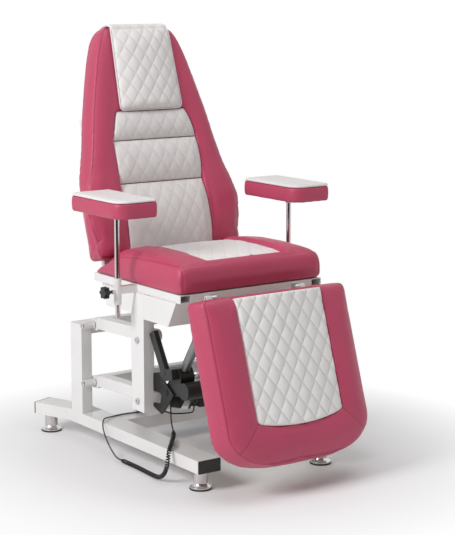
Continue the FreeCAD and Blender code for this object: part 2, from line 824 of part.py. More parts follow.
side_points = [(front_post_y0, seat_rail_z0), (side_plate_top_y, seat_rail_z0),
               (side_plate_low_y, side_plate_z0), (front_post_y0, side_plate_z0)]
side_plate = sheet_yz(side_points, -rail_out_x, sheet_t)
side_plate = soften(side_plate, [e for e in along(side_plate, X) if e.BoundBox.YMax < side_plate_low_y + 1
                                 and e.BoundBox.ZMax < side_plate_z0 + 1], plate_round)
skirt_x = rail_out_x - sheet_t
skirt_drop = sheet_t * 1.2
skirt = sheet_yz([(side_plate_top_y, seat_rail_z0), (side_plate_low_y, side_plate_z0),
                  (side_plate_low_y + skirt_drop, side_plate_z0),
                  (side_plate_top_y + skirt_drop, seat_rail_z0)],
                 -skirt_x, skirt_x * 2)
save("front_skirt", skirt)
rear_side_points = [(front_post_y1, seat_rail_z0), (rear_plate_top_y, seat_rail_z0),
                    (rear_plate_low_y, side_plate_z0), (front_post_y1, side_plate_z0)]
rear_plate = sheet_yz(rear_side_points, -rear_plate_x, sheet_t)
rear_plate = soften(rear_plate, [e for e in along(rear_plate, X) if e.BoundBox.YMin > 0], plate_round)
save("side_panels_left", [side_plate, rear_plate])
save("side_panels_right", [flip(side_plate), flip(rear_plate)])
drive_rail = box_tube(-skirt_x, skirt_x, drive_rail_y0, drive_rail_y1, drive_rail_z0, drive_rail_z1, "x")


# Linear drives
def aim(shape, x, y, z, angle_deg):
    """Puts a drive built along +Z from the origin at its pivot, leaning to its rest angle."""
    copy = shape.copy()
    copy.rotate(vec(0, 0, 0), X, angle_deg - 90)
    copy.translate(vec(x, y, z))
    return copy


def drive_rod(reach, inner, pin_half, head_r):
    """Rod with a flattened, cross-bored eye, and its pin with a washer at each end."""
    shaft = rod(vec(0, 0, inner), Z, drive_rod_r, reach - inner)
    eye = rod(vec(-eye_half, 0, reach), X, fork_r, eye_half * 2)
    flat_z = reach - eye_flat_l
    flat = shaft.common(block(-eye_half, eye_half, -drive_rod_r, drive_rod_r, flat_z, reach))
    shaft = flat.fuse(rod(vec(0, 0, inner), Z, drive_rod_r, flat_z - inner))
    body = shaft.fuse(eye).cut(rod(vec(-eye_half, 0, reach), X, drive_pin_r, eye_half * 2)).removeSplitter()
    pin = rod(vec(-pin_half, 0, reach), X, drive_pin_r, pin_half * 2)
    washers = [rod(vec(x, 0, reach), X, head_r, washer_t) for x in (-pin_half, pin_half - washer_t)]
    return body, pin.fuse(washers).removeSplitter()


def lug_pair(first, r0, second, r1, hole_r):
    """Two lug plates at either side of a drive's eye, with holes about the second point."""
    plates = []
    for x0 in (-eye_half - lug_gap - lug_t, eye_half + lug_gap):
        plate = stadium(x0, lug_t, first, r0, second, r1)
        plates.append(plate.cut(rod(vec(x0, second[0], second[1]), X, hole_r, lug_t)))
    return plates


def shift_x(shapes, x):
    moved = [s.copy() for s in shapes]
    for shape in moved:
        shape.translate(vec(x, 0, 0))
    return moved


lug_out = eye_half + lug_gap + lug_t
pin_half = lug_out + lug_gap + washer_t


def drive_body(tube_l, house_l, house_w, house_h, motor_r, motor_l, motor_side):
    """Base eye, cast gear housing with rounded edges, outer tube with its guide, and motor."""
    house = rounded_box(-house_w * half, house_w * half, -house_h * half, house_h * half, house_z0,
                        house_z0 + house_l, Z, housing_round)
    neck = block(-eye_half, eye_half, -fork_r, fork_r, 0, house_z0)
    eye = rod(vec(-eye_half, 0, 0), X, fork_r, eye_half * 2)
    bore = rod(vec(0, 0, house_z0 + house_floor), Z, drive_rod_r + rod_bore_gap, tube_l)
    house = house.fuse([neck, eye]).cut(rod(vec(-eye_half, 0, 0), X, drive_pin_r, eye_half * 2)).cut(bore)
    tube = rod(vec(0, 0, house_z0 + house_l), Z, drive_tube_r, tube_l - house_z0 - house_l)
    guide = rod(vec(0, 0, tube_l - guide_l), Z, drive_tube_r + guide_t, guide_l)
    tube = tube.cut([bore, guide])
    guide = guide.cut(rod(vec(0, 0, 0), Z, drive_rod_r + running_gap, tube_l))
    tube_room = rod(vec(0, 0, house_z0), Z, drive_tube_r, tube_l)
    mx = motor_side * (house_w * half + motor_r * motor_sink)
    motor = rod(vec(mx, 0, house_z0), Z, motor_r, motor_l)
    rear = rod(vec(mx, 0, house_z0 + motor_l), Z, motor_r - guide_t, guide_l)
    motor = motor.fuse(rear).cut(house).cut(tube_room).removeSplitter()
    return house.removeSplitter(), tube, guide, motor


def base_pin(x_half):
    pin = rod(vec(-x_half, 0, 0), X, drive_pin_r, x_half * 2)
    heads = [rod(vec(x, 0, 0), X, fork_r, washer_t) for x in (-x_half, x_half - washer_t)]
    return pin.fuse(heads).removeSplitter()


# Lift drive
lift_at = (lift_x, lift_base_y, lift_base_z, lift_angle_deg)
lift_parts = drive_body(lift_tube_l, lift_housing_l, lift_housing_w, lift_housing_h, lift_motor_r,
                        lift_motor_l, 1)
house, tube, guide, motor = [aim(p, *lift_at) for p in lift_parts]
save("lift_drive_housing", [house, guide, motor])
save("lift_drive_tube", tube)
rod_body, rod_pin = [aim(p, *lift_at) for p in drive_rod(lift_reach, rod_inner, pin_half, washer_r)]
save("lift_drive_rod", [rod_body, rod_pin])
base_lugs = []
for x0 in (-lug_out, eye_half + lug_gap):
    plate = stadium(x0, lug_t, (lift_base_y, lift_base_z), fork_r + lug_t, (cross_y1 - lug_foot, rail_top),
                    lug_foot)
    plate = plate.cut(block(x0, x0 + lug_t, cross_y0, cross_y1, rail_z, rail_top))
    plate = plate.cut(rod(vec(x0, lift_base_y, lift_base_z), X, drive_pin_r, lug_t))
    base_lugs.append(plate.removeSplitter())
lift_pin = base_pin(pin_half)
lift_pin.translate(vec(lift_x, lift_base_y, lift_base_z))
lift_mount = shift_x(base_lugs, lift_x) + [lift_pin]
top_lugs = lug_pair((front_post_y1 + lug_foot, lift_top_z - lug_foot), lug_foot, (lift_top_y, lift_top_z),
                    lift_lug_r, lift_hole_r)
bar_room = block(-lug_out, lug_out, front_post_y0, front_post_y1, carr_bar_z0, carr_bar_z1 + rail_h)
top_lugs = [p.cut(bar_room) for p in top_lugs]
save("front_cross_bar", [front_bar] + shift_x(top_lugs, lift_x))

# Leg rest drive, in its bracket in front of the left front post
pivot = (leg_base_y, leg_base_z)
hole = rod(vec(cheek_x, leg_base_y, leg_base_z), X, drive_pin_r, cheek_in_x + cheek_t - cheek_x)
cheeks = [sheet_yz(cheek_points, cheek_x, cheek_t).cut(hole),
          sheet_yz(inner_cheek_points, cheek_in_x, cheek_t).cut(hole)]
cheek_pin = rod(vec(cheek_x - washer_t, leg_base_y, leg_base_z), X, drive_pin_r,
                cheek_in_x + cheek_t - cheek_x + washer_t * 2)
cheek_heads = [rod(vec(x, leg_base_y, leg_base_z), X, fork_r, washer_t)
               for x in (cheek_x - washer_t, cheek_in_x + cheek_t)]
save("leg_drive_cheeks", cheeks + [cheek_pin.fuse(cheek_heads).removeSplitter()])

house = sheet_yz(housing_points, housing_x0, housing_x1 - housing_x0)
house = soften(house, along(house, X), housing_round)
saddle = sheet_yz(saddle_points, saddle_x0, housing_x1 - saddle_x0)
saddle = soften(saddle, along(saddle, X), housing_round)
leg_at = (leg_drive_x, leg_base_y, leg_base_z, leg_angle_deg)
room = aim(rod(vec(0, 0, house_z0 + fork_r), Z, drive_rod_r + rod_bore_gap, leg_tube_l), *leg_at)
pin_bore = rod(vec(cheek_x, leg_base_y, leg_base_z), X, drive_pin_r, cheek_in_x - cheek_x)
tube_room = aim(rod(vec(0, 0, housing_end_s), Z, drive_tube_r, leg_tube_l), *leg_at)
house = house.fuse(saddle).cut([pin_bore, room, tube_room]).removeSplitter()
drum = rod(vec(drum_x0, drum_y, drum_z), X, drum_r, drum_x1 - drum_x0)
drum_cap = rod(vec(drum_x1, drum_y, drum_z), X, drum_r - guide_t, guide_t * 2)
drum = drum.fuse(drum_cap).cut([house, tube_room]).removeSplitter()
tube = rod(vec(0, 0, housing_end_s), Z, drive_tube_r, leg_tube_l - housing_end_s)
guide = rod(vec(0, 0, leg_tube_l - guide_l), Z, drive_tube_r + guide_t, guide_l)
tube = tube.cut([rod(vec(0, 0, 0), Z, drive_rod_r + rod_bore_gap, leg_tube_l), guide])
guide = guide.cut(rod(vec(0, 0, 0), Z, drive_rod_r + running_gap, leg_tube_l))
save("leg_drive_tube", aim(tube, *leg_at))
leg_guide = aim(guide, *leg_at)
rod_body, rod_pin = [aim(p, *leg_at) for p in drive_rod(leg_reach, leg_rod_inner, pin_half, leg_washer_r)]
save("leg_drive_rod", [rod_body, rod_pin])

column = rounded_box(column_x0, column_x0 + column_w, -column_d, 0, 0, column_l, Z, column_round)
column = soften(column, [e for e in column.Edges if e.BoundBox.ZMin > column_l - 1], column_round * half)
column.rotate(vec(0, 0, 0), X, -column_lean_deg)
column.translate(vec(0, column_y, column_z))
save("leg_drive_housing", [house, leg_guide, drum, column.cut(house)])

# Back rest drive under the seat
back_at = (0, back_base_y, back_base_z, back_angle_deg)
back_parts = drive_body(back_tube_l, back_housing_l, back_housing_w, back_housing_h, back_motor_r,
                        back_motor_l, -1)
house, tube, guide, motor = [aim(p, *back_at) for p in back_parts]
save("back_drive_housing", [house, guide, motor])
save("back_drive_tube", tube)
rod_body, rod_pin = [aim(p, *back_at) for p in drive_rod(back_reach, back_rod_inner, pin_half, washer_r)]
save("back_drive_rod", [rod_body, rod_pin])
rail_lugs = []
for x0 in (-lug_out, eye_half + lug_gap):
    plate = stadium(x0, lug_t, (drive_rail_y1, back_base_z), rail_lug_foot, (back_base_y, back_base_z),
                    fork_r + lug_t * half)
    plate = plate.cut(block(x0, x0 + lug_t, drive_rail_y0, drive_rail_y1, drive_rail_z0, drive_rail_z1))
    rail_lugs.append(plate.cut(rod(vec(x0, back_base_y, back_base_z), X, drive_pin_r, lug_t)))
back_pin = base_pin(pin_half)
back_pin.translate(vec(0, back_base_y, back_base_z))
save("drive_rail", [drive_rail, back_pin] + rail_lugs)

# Back frame: two uprights, a cross bar, and the lever that the drive moves
hinge = (back_y + back_hinge_v * math.sin(math.radians(back_tilt_deg))
         - back_hinge_n * math.cos(math.radians(back_tilt_deg)),
         back_z + back_hinge_v * math.cos(math.radians(back_tilt_deg))
         + back_hinge_n * math.sin(math.radians(back_tilt_deg)))
lug_at = (hinge[0] + back_lug_y, hinge[1] + back_lug_z)
shaft_at = (hinge[0] + back_lug_y * half, hinge[1] + back_lug_z * half)
upright_n = back_board_n0 - upright_t
upright = box_tube(upright_x0, upright_x1, upright_low_v, upright_top_v, upright_n, back_board_n0, "y")
lids = [block(upright_x0, upright_x1, v, v + tube_wall, upright_n, back_board_n0)
        for v in (upright_low_v, upright_top_v - tube_wall)]
upright = on_back(upright.fuse(lids))
upright = upright.cut(rod(vec(upright_x0, *hinge), X, hinge_pin_r + pin_gap, upright_x1 - upright_x0))
back_bar = on_back(box_tube(-upright_x0, upright_x0, back_bar_v, back_bar_v + back_bar_h, upright_n,
                            back_board_n0, "x"))
back_frame = upright.fuse([flip(upright), back_bar]).removeSplitter()
lever = stadium(upright_x0 - lug_t, lug_t, hinge, lever_r, shaft_at, shaft_r + lug_t * half)
lever = lever.cut(rod(vec(upright_x0 - lug_t, *hinge), X, hinge_pin_r + pin_gap, lug_t))
shaft = rod(vec(-upright_x0 + lug_t, *shaft_at), X, shaft_r, (upright_x0 - lug_t) * 2)
lever_lugs = []
for plate in lug_pair(shaft_at, shaft_r + lug_t * half, lug_at, back_lug_r, back_hole_r):
    lever_lugs.append(plate.cut(shaft))
save("back_frame", [back_frame, lever, flip(lever), shaft] + lever_lugs)
ear = stadium(ear_x0, ear_x1 - ear_x0, (ear_y, ear_z), ear_r0, hinge, ear_r1)
ear = ear.cut(rod(vec(ear_x0, *hinge), X, hinge_pin_r, ear_x1 - ear_x0))
hinge_pin = rod(vec(upright_x0 - lug_t - pin_end, *hinge), X, hinge_pin_r,
                ear_x1 + pin_end - upright_x0 + lug_t + pin_end)
collar = rod(vec(upright_x1 + pin_gap, *hinge), X, ear_r1 - 1, ear_x0 - upright_x1 - pin_gap)
pin_head = rod(vec(ear_x1, *hinge), X, bolt_head_r, pin_end)
hinge_pin = hinge_pin.fuse([collar, pin_head]).removeSplitter()
hinge_parts = [ear, flip(ear), hinge_pin, flip(hinge_pin)]


# Seat cushion
def outline_of(rows, inset, v0, v1, rear_w=None):
    """Plan outline of a board that follows a cushion's half widths at its underside."""
    wide = [(row[0], row[1] if rear_w is None else min(row[1], rear_w)) for row in sorted(rows)]
    right = [(w - inset, v) for v, w in wide if v0 < v < v1]
    right = [(right[0][0], v0)] + right + [(right[-1][0] - inset, v1)]
    return right + [(-x, v) for x, v in reversed(right)]


def grown(points, by):
    """The same outline, moved outward by a small clearance."""
    wire = Part.makePolygon([vec(x, y, 0) for x, y in points] + [vec(points[0][0], points[0][1], 0)])
    return wire.makeOffset2D(by, 2)


def board_and_room(points, n0, n1):
    board = face_of([(x, v, n0) for x, v in points]).extrude(Z * (n1 - n0))
    room = Part.Face(grown(points, soft_gap)).extrude(Z * (n1 - n0 + soft_gap * 2))
    room.translate(vec(0, 0, n0 - soft_gap))
    return board, room


def panel_loft(rows, half_w, drop, crown):
    """A quilted centre panel: flat underside, short sides and a low crown, lofted along its length."""
    wires = []
    for v, top in filled(rows):
        low, side = top - drop, top - crown
        edges = [Part.LineSegment(vec(half_w, v, low), vec(-half_w, v, low)).toShape(),
                 Part.LineSegment(vec(-half_w, v, low), vec(-half_w, v, side)).toShape(),
                 Part.Arc(vec(-half_w, v, side), vec(0, v, top), vec(half_w, v, side)).toShape(),
                 Part.LineSegment(vec(half_w, v, side), vec(half_w, v, low)).toShape()]
        wires.append(Part.Wire(edges))
    return loft(wires)


def filled(rows):
    """The same rows with more between them where they are far apart, so that the skin runs evenly."""
    full = [rows[0]]
    for a, b in zip(rows, rows[1:]):
        count = max(1, round(abs(b[0] - a[0]) / row_step))
        full += [tuple(p + (q - p) * i / count for p, q in zip(a, b)) for i in range(1, count + 1)]
    return full


def cushion(rows, bulge, rear_w=None, flare=0.0):
    return loft([cushion_wire(v, w, under, seam, crest, bulge, rear_w, flare)
                 for v, w, under, seam, crest in filled(rows)])


seat_points = outline_of(seat_rows, board_in, seat_board_y0, seat_board_y1)
seat_board, seat_room = board_and_room(seat_points, seat_rail_z1, seat_rail_z1 + board_t)
save("seat_board", seat_board)
seat_floor = [(y, top - seat_panel_depth) for y, top in seat_panel_rows]
first_y, first_top = seat_panel_rows[0]
last_y, last_top = seat_panel_rows[-1]
seat_panel = panel_loft(seat_panel_rows, seat_panel_w, seat_panel_depth - panel_gap, seat_panel_crown)
cut_points = [(first_y - panel_gap, first_top - seat_panel_depth)] + seat_floor[1:-1]
cut_points += [(last_y + panel_gap, last_top - seat_panel_depth)]
cut_points += [(last_y + panel_gap, seat_cut_z), (first_y - panel_gap, seat_cut_z)]
recess = sheet_yz(cut_points, -seat_panel_w - panel_gap, (seat_panel_w + panel_gap) * 2)
seat_low = seat_rail_z1 + soft_gap
seat_trim = block(-soft_span, soft_span, seat_front_y - soft_span, seat_rear_y + soft_span,
                  seat_low - soft_span, seat_low)
seat_body = cushion(seat_rows, seat_bulge).cut(seat_trim)
save("seat_cushion", [seat_body.cut([seat_room, recess]), seat_panel])

# Back rest
back_points = outline_of(back_rows, board_in, back_board_v0, back_board_v1, back_rear_w)
back_board, back_room = board_and_room(back_points, back_board_n0, back_board_n1)
save("back_board", on_back(back_board))
panel_in = panel_w
taper = [(-panel_in, back_v0 - board_in), (panel_in, back_v0 - board_in), (panel_in, panel_taper_v),
         (panel_top_w, panel_top_v), (-panel_top_w, panel_top_v), (-panel_in, panel_taper_v)]
recess = face_of([(x, v, -panel_depth) for x, v in taper]).extrude(Z * back_thick)
pillow_seat = block(-pillow_seat_w, pillow_seat_w, pillow_seat_v0, pillow_seat_v1, pillow_seat_n, back_thick)
back_low = back_board_n0 + soft_gap
back_trim = block(-soft_span, soft_span, -soft_span, soft_span * 3, back_low - soft_span, back_low)
back_body = cushion(back_rows, back_bulge, back_rear_w).cut(back_trim)
save("back_cushion", on_back(back_body.cut([back_room, recess, pillow_seat])))


def roll(v0, v1, w0, w1, height):
    """One sewn roll of the back rest, swelling toward the middle, cut to the panel's taper."""
    base = -panel_depth + panel_gap
    wide = max(w0, w1)
    wires = []
    for share, rise in ((-1, roll_end_share), (-roll_shoulder, roll_mid_share), (0, 1),
                        (roll_shoulder, roll_mid_share), (1, roll_end_share)):
        x = wide * share
        side = roll_side_n * rise
        top = height * rise
        edges = [Part.LineSegment(vec(x, v0, base), vec(x, v0, side)).toShape(),
                 Part.Arc(vec(x, v0, side), vec(x, half * (v0 + v1), top), vec(x, v1, side)).toShape(),
                 Part.LineSegment(vec(x, v1, side), vec(x, v1, base)).toShape(),
                 Part.LineSegment(vec(x, v1, base), vec(x, v0, base)).toShape()]
        wires.append(Part.Wire(edges))
    body = loft(wires)
    keep = face_of([(-w0, v0, base), (w0, v0, base), (w1, v1, base), (-w1, v1, base)]).extrude(Z * back_thick)
    return body.common(keep)


save("back_rolls", [on_back(roll(*row)) for row in roll_rows])
pillow = cushion(pillow_rows, pillow_bulge)
outer, inner = [[vec(-flap_w, v, n) for v, n in line] for line in (flap_outer, flap_inner)]
rear_out = vec(-flap_w, flap_low_v, flap_rear_outer_n)
rear_in = vec(-flap_w, flap_low_v, flap_rear_inner_n)
flap_edges = [Part.LineSegment(outer[0], outer[1]).toShape(), Part.Arc(*outer[1:]).toShape(),
              Part.LineSegment(outer[3], rear_out).toShape(), Part.LineSegment(rear_out, rear_in).toShape(),
              Part.LineSegment(rear_in, inner[3]).toShape(), Part.Arc(*reversed(inner[1:])).toShape(),
              Part.LineSegment(inner[1], inner[0]).toShape(), Part.LineSegment(inner[0], outer[0]).toShape()]
flap = Part.Face(Part.Wire(flap_edges)).extrude(X * flap_w * 2)
save("head_pillow", [on_back(pillow), on_back(flap)])

# Leg rest
leg_points = outline_of(leg_rows, board_in, leg_board_v0, leg_board_v1)
leg_board, leg_room = board_and_room(leg_points, leg_board_n0, leg_board_n1)
save("leg_board", on_leg(leg_board))
leg_low = leg_board_n1 + soft_gap
leg_trim = block(-soft_span, soft_span, -soft_span * 2, soft_span, leg_low - soft_span, leg_low)
leg_body = cushion(leg_rows, leg_bulge, None, leg_flare).cut(leg_trim)


def bowed(half_w, v0, v1, n0, n1):
    """A block whose lower end bows outward, with rounded lower corners."""
    side_v = v0 + leg_panel_bow
    edges = [Part.Arc(vec(-half_w, side_v, n0), vec(0, v0, n0), vec(half_w, side_v, n0)).toShape(),
             Part.LineSegment(vec(half_w, side_v, n0), vec(half_w, v1, n0)).toShape(),
             Part.LineSegment(vec(half_w, v1, n0), vec(-half_w, v1, n0)).toShape(),
             Part.LineSegment(vec(-half_w, v1, n0), vec(-half_w, side_v, n0)).toShape()]
    shape = Part.Face(Part.Wire(edges)).extrude(Z * (n1 - n0))
    return soften(shape, [e for e in along(shape, Z) if e.BoundBox.YMax < side_v + panel_gap],
                  leg_panel_round)


recess = bowed(leg_panel_w + panel_gap, leg_panel_v0 - panel_gap, leg_panel_v1 + leg_thick,
               leg_panel_floor, leg_thick)
leg_body = on_leg(leg_body.cut(recess))
leg_panel = panel_loft([(v, leg_panel_crest) for v in (leg_panel_v0, leg_panel_v1)], leg_panel_w,
                       leg_panel_crest - leg_panel_floor - panel_gap, leg_panel_crest - leg_panel_side)
leg_panel = leg_panel.common(bowed(leg_panel_w, leg_panel_v0, leg_panel_v1, leg_panel_floor, leg_thick))
save("leg_cushion", [leg_body, on_leg(leg_panel)])

tab_z1 = leg_hinge_z + knuckle_r
tab = block(-knuckle_x0 - knuckle_w, -knuckle_x0, leg_hinge_y, seat_front_y, leg_hinge_z - knuckle_r * half,
            leg_hinge_z + knuckle_r)
tab = tab.fuse(rod(vec(-knuckle_x0 - knuckle_w, leg_hinge_y, leg_hinge_z), X, knuckle_r, knuckle_w))
pin_hole = rod(vec(-knuckle_x0 - knuckle_w * 3, leg_hinge_y, leg_hinge_z), X, knuckle_pin_r, knuckle_w * 4)
tab = tab.cut(pin_hole).removeSplitter()
hinge_v = (leg_hinge_y - leg_y) * math.sin(math.radians(90 - leg_hang_deg)) \
    + (leg_hinge_z - leg_z) * math.cos(math.radians(90 - leg_hang_deg))
hinge_n = -(leg_hinge_y - leg_y) * math.cos(math.radians(90 - leg_hang_deg)) \
    + (leg_hinge_z - leg_z) * math.sin(math.radians(90 - leg_hang_deg))
arm_n0 = leg_board_n0 - leg_arm_t
arm = rounded_box(-leg_arm_x1, -leg_arm_x0, leg_strap_v, leg_arm_top_v, arm_n0, leg_board_n0, Z, cap_round)
strap = block(-leg_arm_x0, leg_arm_x0, leg_strap_v, leg_strap_v + back_bar_h, arm_n0, leg_board_n0)
leg_frame = on_leg(arm.fuse([flip(arm), strap]).removeSplitter())
gx = -knuckle_x0 - knuckle_w * 2 - knuckle_gap
gusset = sheet_yz([(hinge_v - knuckle_r, hinge_n), (gusset_low_v, arm_n0), (leg_arm_top_v, arm_n0),
                   (hinge_v, hinge_n + knuckle_r)], gx, knuckle_w)
gusset = gusset.fuse(rod(vec(gx, hinge_v, hinge_n), X, knuckle_r, knuckle_w)).removeSplitter()
gusset = on_leg(gusset).cut(rod(vec(gx, leg_hinge_y, leg_hinge_z), X, knuckle_pin_r + pin_gap, knuckle_w))
knuckle_pin = rod(vec(gx - knuckle_gap, leg_hinge_y, leg_hinge_z), X, knuckle_pin_r,
                  knuckle_w * 2 + knuckle_gap * 3)
save("seat_frame_hinges", hinge_parts + [tab, flip(tab), knuckle_pin, flip(knuckle_pin)])
foot_x0, foot_x1 = leg_drive_x - lug_foot_w, -leg_arm_x1 - pin_gap
foot_plate = block(foot_x0, foot_x1, leg_lug_v - lug_foot_v, leg_lug_v + lug_foot_v, leg_board_n0 - cheek_t,
                   leg_board_n0)
window = block(leg_drive_x - eye_half - lug_gap, leg_drive_x + eye_half + lug_gap, leg_lug_v - lug_window_v,
               leg_lug_v + lug_window_v, leg_board_n0 - cheek_t, leg_board_n0)
foot_plate = foot_plate.cut(window)
leg_lugs = []
for x0 in (leg_drive_x - lug_out, leg_drive_x + eye_half + lug_gap):
    plate = block(x0, x0 + lug_t, leg_lug_v - leg_lug_r, leg_lug_v + leg_lug_r, leg_lug_n, leg_board_n0)
    plate = plate.fuse(rod(vec(x0, leg_lug_v, leg_lug_n), X, leg_lug_r, lug_t))
    leg_lugs.append(plate.cut(rod(vec(x0, leg_lug_v, leg_lug_n), X, leg_hole_r, lug_t)))
leg_lug = on_leg(foot_plate.fuse(leg_lugs).removeSplitter())
save("leg_frame", [leg_frame, gusset, flip(gusset), leg_lug])

# Arm rests
bar_y0, bar_y1 = arm_y - clamp_bar_w * half, arm_y + clamp_bar_w * half
clamp_bore = rod(vec(-arm_x, arm_y, clamp_z0), Z, arm_rod_r + running_gap, clamp_z1 - clamp_z0)
knob_bore = rod(vec(-arm_x - clamp_r - boss_len, arm_y, knob_z), X, knob_stem_r + running_gap,
                clamp_r + boss_len)
clamp = rod(vec(-arm_x, arm_y, clamp_z0), Z, clamp_r, clamp_z1 - clamp_z0)
boss = rod(vec(-arm_x - clamp_r - boss_len, arm_y, knob_z), X, boss_r, clamp_r + boss_len)
bar = box_tube(-arm_x, -seat_out_x, bar_y0, bar_y1, clamp_bar_z0, clamp_bar_z1, "x")
clamp = clamp.fuse([boss, bar]).cut([clamp_bore, knob_bore]).removeSplitter()
both("arm_clamp", clamp)


def star_knob():
    """A lobed hand knob on a threaded stem that presses on the arm rest's rod."""
    x0 = -arm_x - knob_out - knob_t * half
    hub = rod(vec(x0, 0, 0), X, knob_r - knob_lobe_r, knob_t)
    lobes = []
    for i in range(knob_lobes):
        angle = 2 * math.pi * i / knob_lobes
        r = knob_r - knob_lobe_r
        lobes.append(rod(vec(x0, r * math.cos(angle), r * math.sin(angle)), X, knob_lobe_r, knob_t))
    head = hub.fuse(lobes).removeSplitter()
    head = soften(head, [e for e in head.Edges if e.BoundBox.XLength < 1e-6 and e.BoundBox.XMin < x0 + 1],
                  knob_round)
    neck = rod(vec(x0 + knob_t, 0, 0), X, boss_r, knob_neck)
    stem = rod(vec(x0 + knob_t, 0, 0), X, knob_stem_r, -arm_x - arm_rod_r - knob_tip_gap - x0 - knob_t)
    knob = head.fuse([neck, stem]).removeSplitter()
    knob.translate(vec(0, arm_y, knob_z))
    return knob


both("arm_knob", star_knob())
arm_rod = rod(vec(-arm_x, arm_y, arm_rod_z0), Z, arm_rod_r, arm_pad_z0 - arm_plate_t - arm_rod_z0)
arm_rod = soften(arm_rod, [e for e in arm_rod.Edges if e.BoundBox.ZMax < arm_rod_z0 + 1], rim_round)
both("arm_rod", arm_rod)


def pad_wire(z, inset):
    """Pad outline with one large rounded front corner, the others small."""
    x1, y1 = arm_pad_w * half - inset, arm_pad_len * half - inset
    corners = ((-1, -1, arm_front_r, 180), (1, -1, arm_corner_r, 270), (1, 1, arm_corner_r, 0),
               (-1, 1, arm_corner_r, 90))
    arcs = []
    for sx, sy, r, first_deg in corners:
        r = max(r - inset, pad_edge * half)
        cx, cy = sx * (x1 - r), sy * (y1 - r)
        turns = [math.radians(first_deg + step) for step in (0, 45, 90)]
        arcs.append([vec(cx + r * math.cos(t), cy + r * math.sin(t), z) for t in turns])
    edges = []
    for i, arc in enumerate(arcs):
        edges.append(Part.Arc(*arc).toShape())
        edges.append(Part.LineSegment(arc[-1], arcs[(i + 1) % len(arcs)][0]).toShape())
    return Part.Wire(edges)


def arm_pad(centre_x, side):
    """One arm rest pad: board, soft band with rolled lower edge and a crowned top panel."""
    band_z0 = arm_pad_z0 + pin_gap
    band_rows = ((band_z0, pad_edge), (arm_pad_z0 + pad_edge, pad_edge * 0.3),
                 (arm_pad_z0 + pad_edge * 3, 0), (arm_band_z1 - pad_edge, 0), (arm_band_z1, pad_edge * half))
    band = Part.makeLoft([pad_wire(z, inset) for z, inset in band_rows], True, True)
    top_rows = ((arm_band_z1 + pin_gap, pad_edge * half), (arm_pad_z1 - pad_edge * 2, pad_edge * half),
                (arm_pad_z1 - pad_edge, pad_edge), (arm_pad_z1 - arm_pad_crown * half, pad_edge * 2),
                (arm_pad_z1, pad_edge * 5))
    top = Part.makeLoft([pad_wire(z, inset) for z, inset in top_rows], True, True)
    board = Part.Face(pad_wire(arm_pad_z0, arm_board_in)).extrude(Z * arm_board_t)
    room = Part.Face(pad_wire(arm_pad_z0, arm_board_in - soft_gap)).extrude(Z * (arm_board_t + soft_gap))
    plate = rounded_box(-arm_plate_w * half, arm_plate_w * half, arm_y - arm_pad_y - arm_plate_len * half,
                        arm_y - arm_pad_y + arm_plate_len * half, arm_pad_z0 - arm_plate_t, arm_pad_z0, Z,
                        cap_round * 2)
    socket = rod(vec(0, arm_y - arm_pad_y, arm_pad_z0 - arm_plate_t - arm_socket_h), Z, arm_socket_r,
                 arm_socket_h)
    socket = socket.cut(rod(vec(0, arm_y - arm_pad_y, 0), Z, arm_rod_r + running_gap, arm_pad_z0))
    plate = plate.fuse(socket).removeSplitter()
    band = band.cut(room)
    for shape in (plate, board, band, top):
        shape.translate(vec(centre_x, arm_pad_y, 0))
    save("arm_plate_" + side, [plate, board])
    save("arm_pad_" + side, [band, top])


arm_pad(-arm_x, "left")
arm_pad(arm_x, "right")

# Control box and the socket of the handset cord
box = rounded_box(control_x0, control_x1, control_y0, front_post_y0, control_z0, control_z1, Y, control_round)
box = soften(box, [e for e in box.Edges if e.BoundBox.YMax < control_y0 + 1], control_round * half)
ribs = [block(control_x0 + control_round * 2, control_x1 - control_round * 2, control_y0 - rib_rise,
              control_y0, z, z + rib_rise) for z in (control_z0 + rib_in, control_z1 - rib_in)]
port = rounded_box(socket_x - socket_half, socket_x + socket_half, socket_y - socket_half, front_post_y0,
                   socket_z0, socket_z1, Y, cap_round)
relief = Part.makeCone(relief_r1, relief_r0, relief_l, vec(socket_x, socket_y, socket_z0 - relief_l), Z)
control_parts = [box.fuse(ribs).removeSplitter(), port.fuse(relief).removeSplitter()]

# Handset, its buttons and its holder
hx0, hx1 = handset_x - handset_w * half, handset_x + handset_w * half
hy0, hy1 = handset_y - handset_d * half, handset_y + handset_d * half
shell = rounded_box(hx0, hx1, hy0, hy1, handset_z0, handset_z0 + handset_h, Y, handset_round)
shell = soften(shell, [e for e in shell.Edges if e.BoundBox.YLength < 1e-6], rim_round)
keys = []
for i in range(key_count):
    z = key_top_z - i * key_pitch
    room = block(handset_x - key_w * half - button_gap, handset_x + key_w * half + button_gap, hy0,
                 hy0 + key_deep + button_gap * 3, z - key_h * half - button_gap, z + key_h * half + button_gap)
    pin_y = hy0 + key_deep * half
    hole = rod(vec(handset_x - key_w * half - key_pin_in - pin_gap, pin_y, z), X, key_pin_r + key_pin_gap,
               key_w + (key_pin_in + pin_gap) * 2)
    shell = shell.cut([room, hole])
    key = rounded_box(handset_x - key_w * half, handset_x + key_w * half, hy0 - key_rise, hy0 + key_deep,
                      z - key_h * half, z + key_h * half, Y, key_round)
    dish = rod(vec(handset_x - key_w * half, hy0 - key_rise - key_dish_r + key_dish, z), X, key_dish_r, key_w)
    pin = rod(vec(handset_x - key_w * half - key_pin_in, pin_y, z), X, key_pin_r, key_w + key_pin_in * 2)
    keys.append(key.cut(dish).fuse(pin).removeSplitter())
boot = Part.makeCone(relief_r1, relief_r0, gland_l, vec(handset_x, handset_y, handset_z0 - gland_l), Z)
clip = block(handset_x - clip_w * half, handset_x + clip_w * half, hy1, holder_y + clip_gap + clip_t,
             holder_top - clip_h, holder_top + clip_gap + clip_t)
